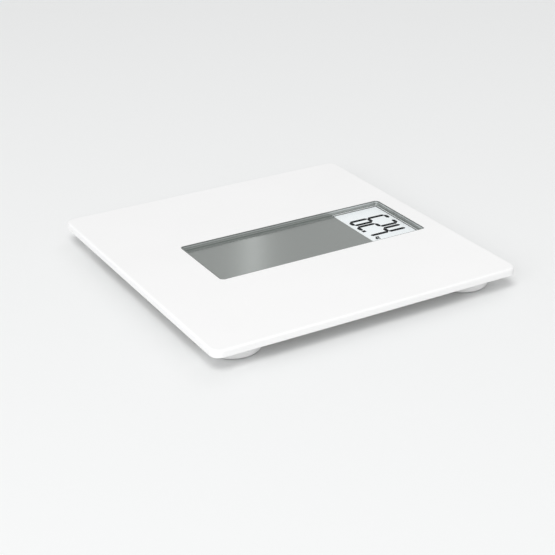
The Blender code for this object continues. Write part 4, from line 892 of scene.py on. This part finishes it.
arm = add_node(screw_recipe, "ShaderNodeMath",
               {0: sizes["Head Radius"], 1: RECESS_LENGTH_SHARE}, operation="MULTIPLY")
slit = add_node(screw_recipe, "ShaderNodeMath",
                {0: sizes["Head Radius"], 1: RECESS_WIDTH_SHARE}, operation="MULTIPLY")
bars = []
for long_x, long_y in ((arm, slit), (slit, arm)):
    bar = add_node(screw_recipe, "ShaderNodeCombineXYZ",
                   {"X": long_x.outputs[0], "Y": long_y.outputs[0], "Z": sizes["Head Height"]})
    bars.append(add_node(screw_recipe, "GeometryNodeMeshCube", {"Size": bar.outputs[0]}))
recessed = add_node(screw_recipe, "GeometryNodeMeshBoolean",
                    {"Mesh 1": head.outputs[0], "Mesh 2": bars[0].outputs[0]},
                    operation="DIFFERENCE", solver="EXACT")
screw_recipe.links.new(bars[1].outputs[0], recessed.inputs["Mesh 2"])

core = add_node(screw_recipe, "ShaderNodeMath",
                {0: sizes["Shank Radius"], 1: CORE_SHARE}, operation="MULTIPLY")
shank = add_node(screw_recipe, "GeometryNodeMeshCylinder",
                 {"Vertices": SHANK_SIDES, "Radius": core.outputs[0], "Depth": sizes["Length"]})
shank_height = add_node(screw_recipe, "ShaderNodeMath",
                        {0: sizes["Length"], 1: 0.5, 2: sizes["Head Height"]}, operation="MULTIPLY_ADD")
shank_lift = add_node(screw_recipe, "ShaderNodeCombineXYZ", {"Z": shank_height.outputs[0]})
shank = add_node(screw_recipe, "GeometryNodeTransform",
                 {"Geometry": shank.outputs[0], "Translation": shank_lift.outputs[0]})

flank = add_node(screw_recipe, "ShaderNodeMath",
                 {0: sizes["Shank Radius"], 1: core.outputs[0]}, operation="SUBTRACT")
threaded = add_node(screw_recipe, "ShaderNodeMath",
                    {0: sizes["Length"], 1: THREADED_SHARE}, operation="MULTIPLY")
turns = add_node(screw_recipe, "ShaderNodeMath",
                 {0: threaded.outputs[0], 1: sizes["Thread Pitch"]}, operation="DIVIDE")
helix = add_node(screw_recipe, "GeometryNodeCurveSpiral",
                 {"Resolution": THREAD_STEPS, "Rotations": turns.outputs[0], "Start Radius": core.outputs[0],
                  "End Radius": core.outputs[0], "Height": threaded.outputs[0]})
ridge = add_node(screw_recipe, "GeometryNodeCurvePrimitiveCircle",
                 {"Resolution": RIDGE_SIDES, "Radius": flank.outputs[0]})
thread = add_node(screw_recipe, "GeometryNodeCurveToMesh",
                  {"Curve": helix.outputs[0], "Profile Curve": ridge.outputs[0], "Fill Caps": True})
thread_start = add_node(screw_recipe, "ShaderNodeMath",
                        {0: sizes["Length"], 1: THREAD_START_SHARE, 2: sizes["Head Height"]},
                        operation="MULTIPLY_ADD")
thread_lift = add_node(screw_recipe, "ShaderNodeCombineXYZ", {"Z": thread_start.outputs[0]})
thread = add_node(screw_recipe, "GeometryNodeTransform",
                  {"Geometry": thread.outputs[0], "Translation": thread_lift.outputs[0]})

screw = add_node(screw_recipe, "GeometryNodeJoinGeometry", {0: recessed.outputs[0]})
for item in (shank, thread):
    screw_recipe.links.new(item.outputs[0], screw.inputs[0])
upside = add_node(screw_recipe, "ShaderNodeCombineXYZ", {"X": sizes["Turned Over"]})
placed = add_node(screw_recipe, "GeometryNodeInstanceOnPoints",
                  {"Points": sizes["Geometry"], "Instance": screw.outputs[0], "Rotation": upside.outputs[0]})
finish_recipe(screw_recipe, sizes, placed.outputs[0])
for name, places, height, numbers, screw_sizes, over in (
        ("base_screw", SCREW_PLACES, BASE_SCREW_HEAD, range(1, 9), SCREW_SIZES, 0.0),
        ("display_screw", EAR_PLACES, EAR_SCREW_HEAD, range(1, 5), PIN_SIZES, 0.0),
        ("board_screw", BOARD_SCREW_PLACES, BOARD_SCREW_HEAD, (1, 4), PIN_SIZES, math.pi)):
    mesh = grown(name + "s", screw_recipe, [(x, y, height) for x, y in places], [],
                 {**screw_sizes, "Turned Over": over}, nickel_plate)
    screws = new_piece(name + "s", mesh, nickel_plate)
    for number in numbers:
        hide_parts(f"{name}_{number}")
    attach(screws, "scale")
    underside.objects.link(screws)


# Finishes: each CAD piece is painted by the slot that its record gives it, so that no piece keeps the plain
# colour it came with.
FINISHES = {"white_plastic": satin_abs, "cover_plastic": cover_abs, "brushed_steel": brushed_steel,
            "spring_steel": nickel_plate, "clear_plastic": clear_lens, "display_glass": lit_glass,
            "ribbon_film": polyimide, "green_board": solder_mask, "black_plastic": black_abs,
            "gauge_film": polyimide, "grey_rubber": pad_rubber, "lead_sheath": sheath}
for part in frame["record"]["subparts"]:
    for place in frame["nodes"][part["node"]].material_slots:
        place.material = FINISHES[part["material_slot"]]
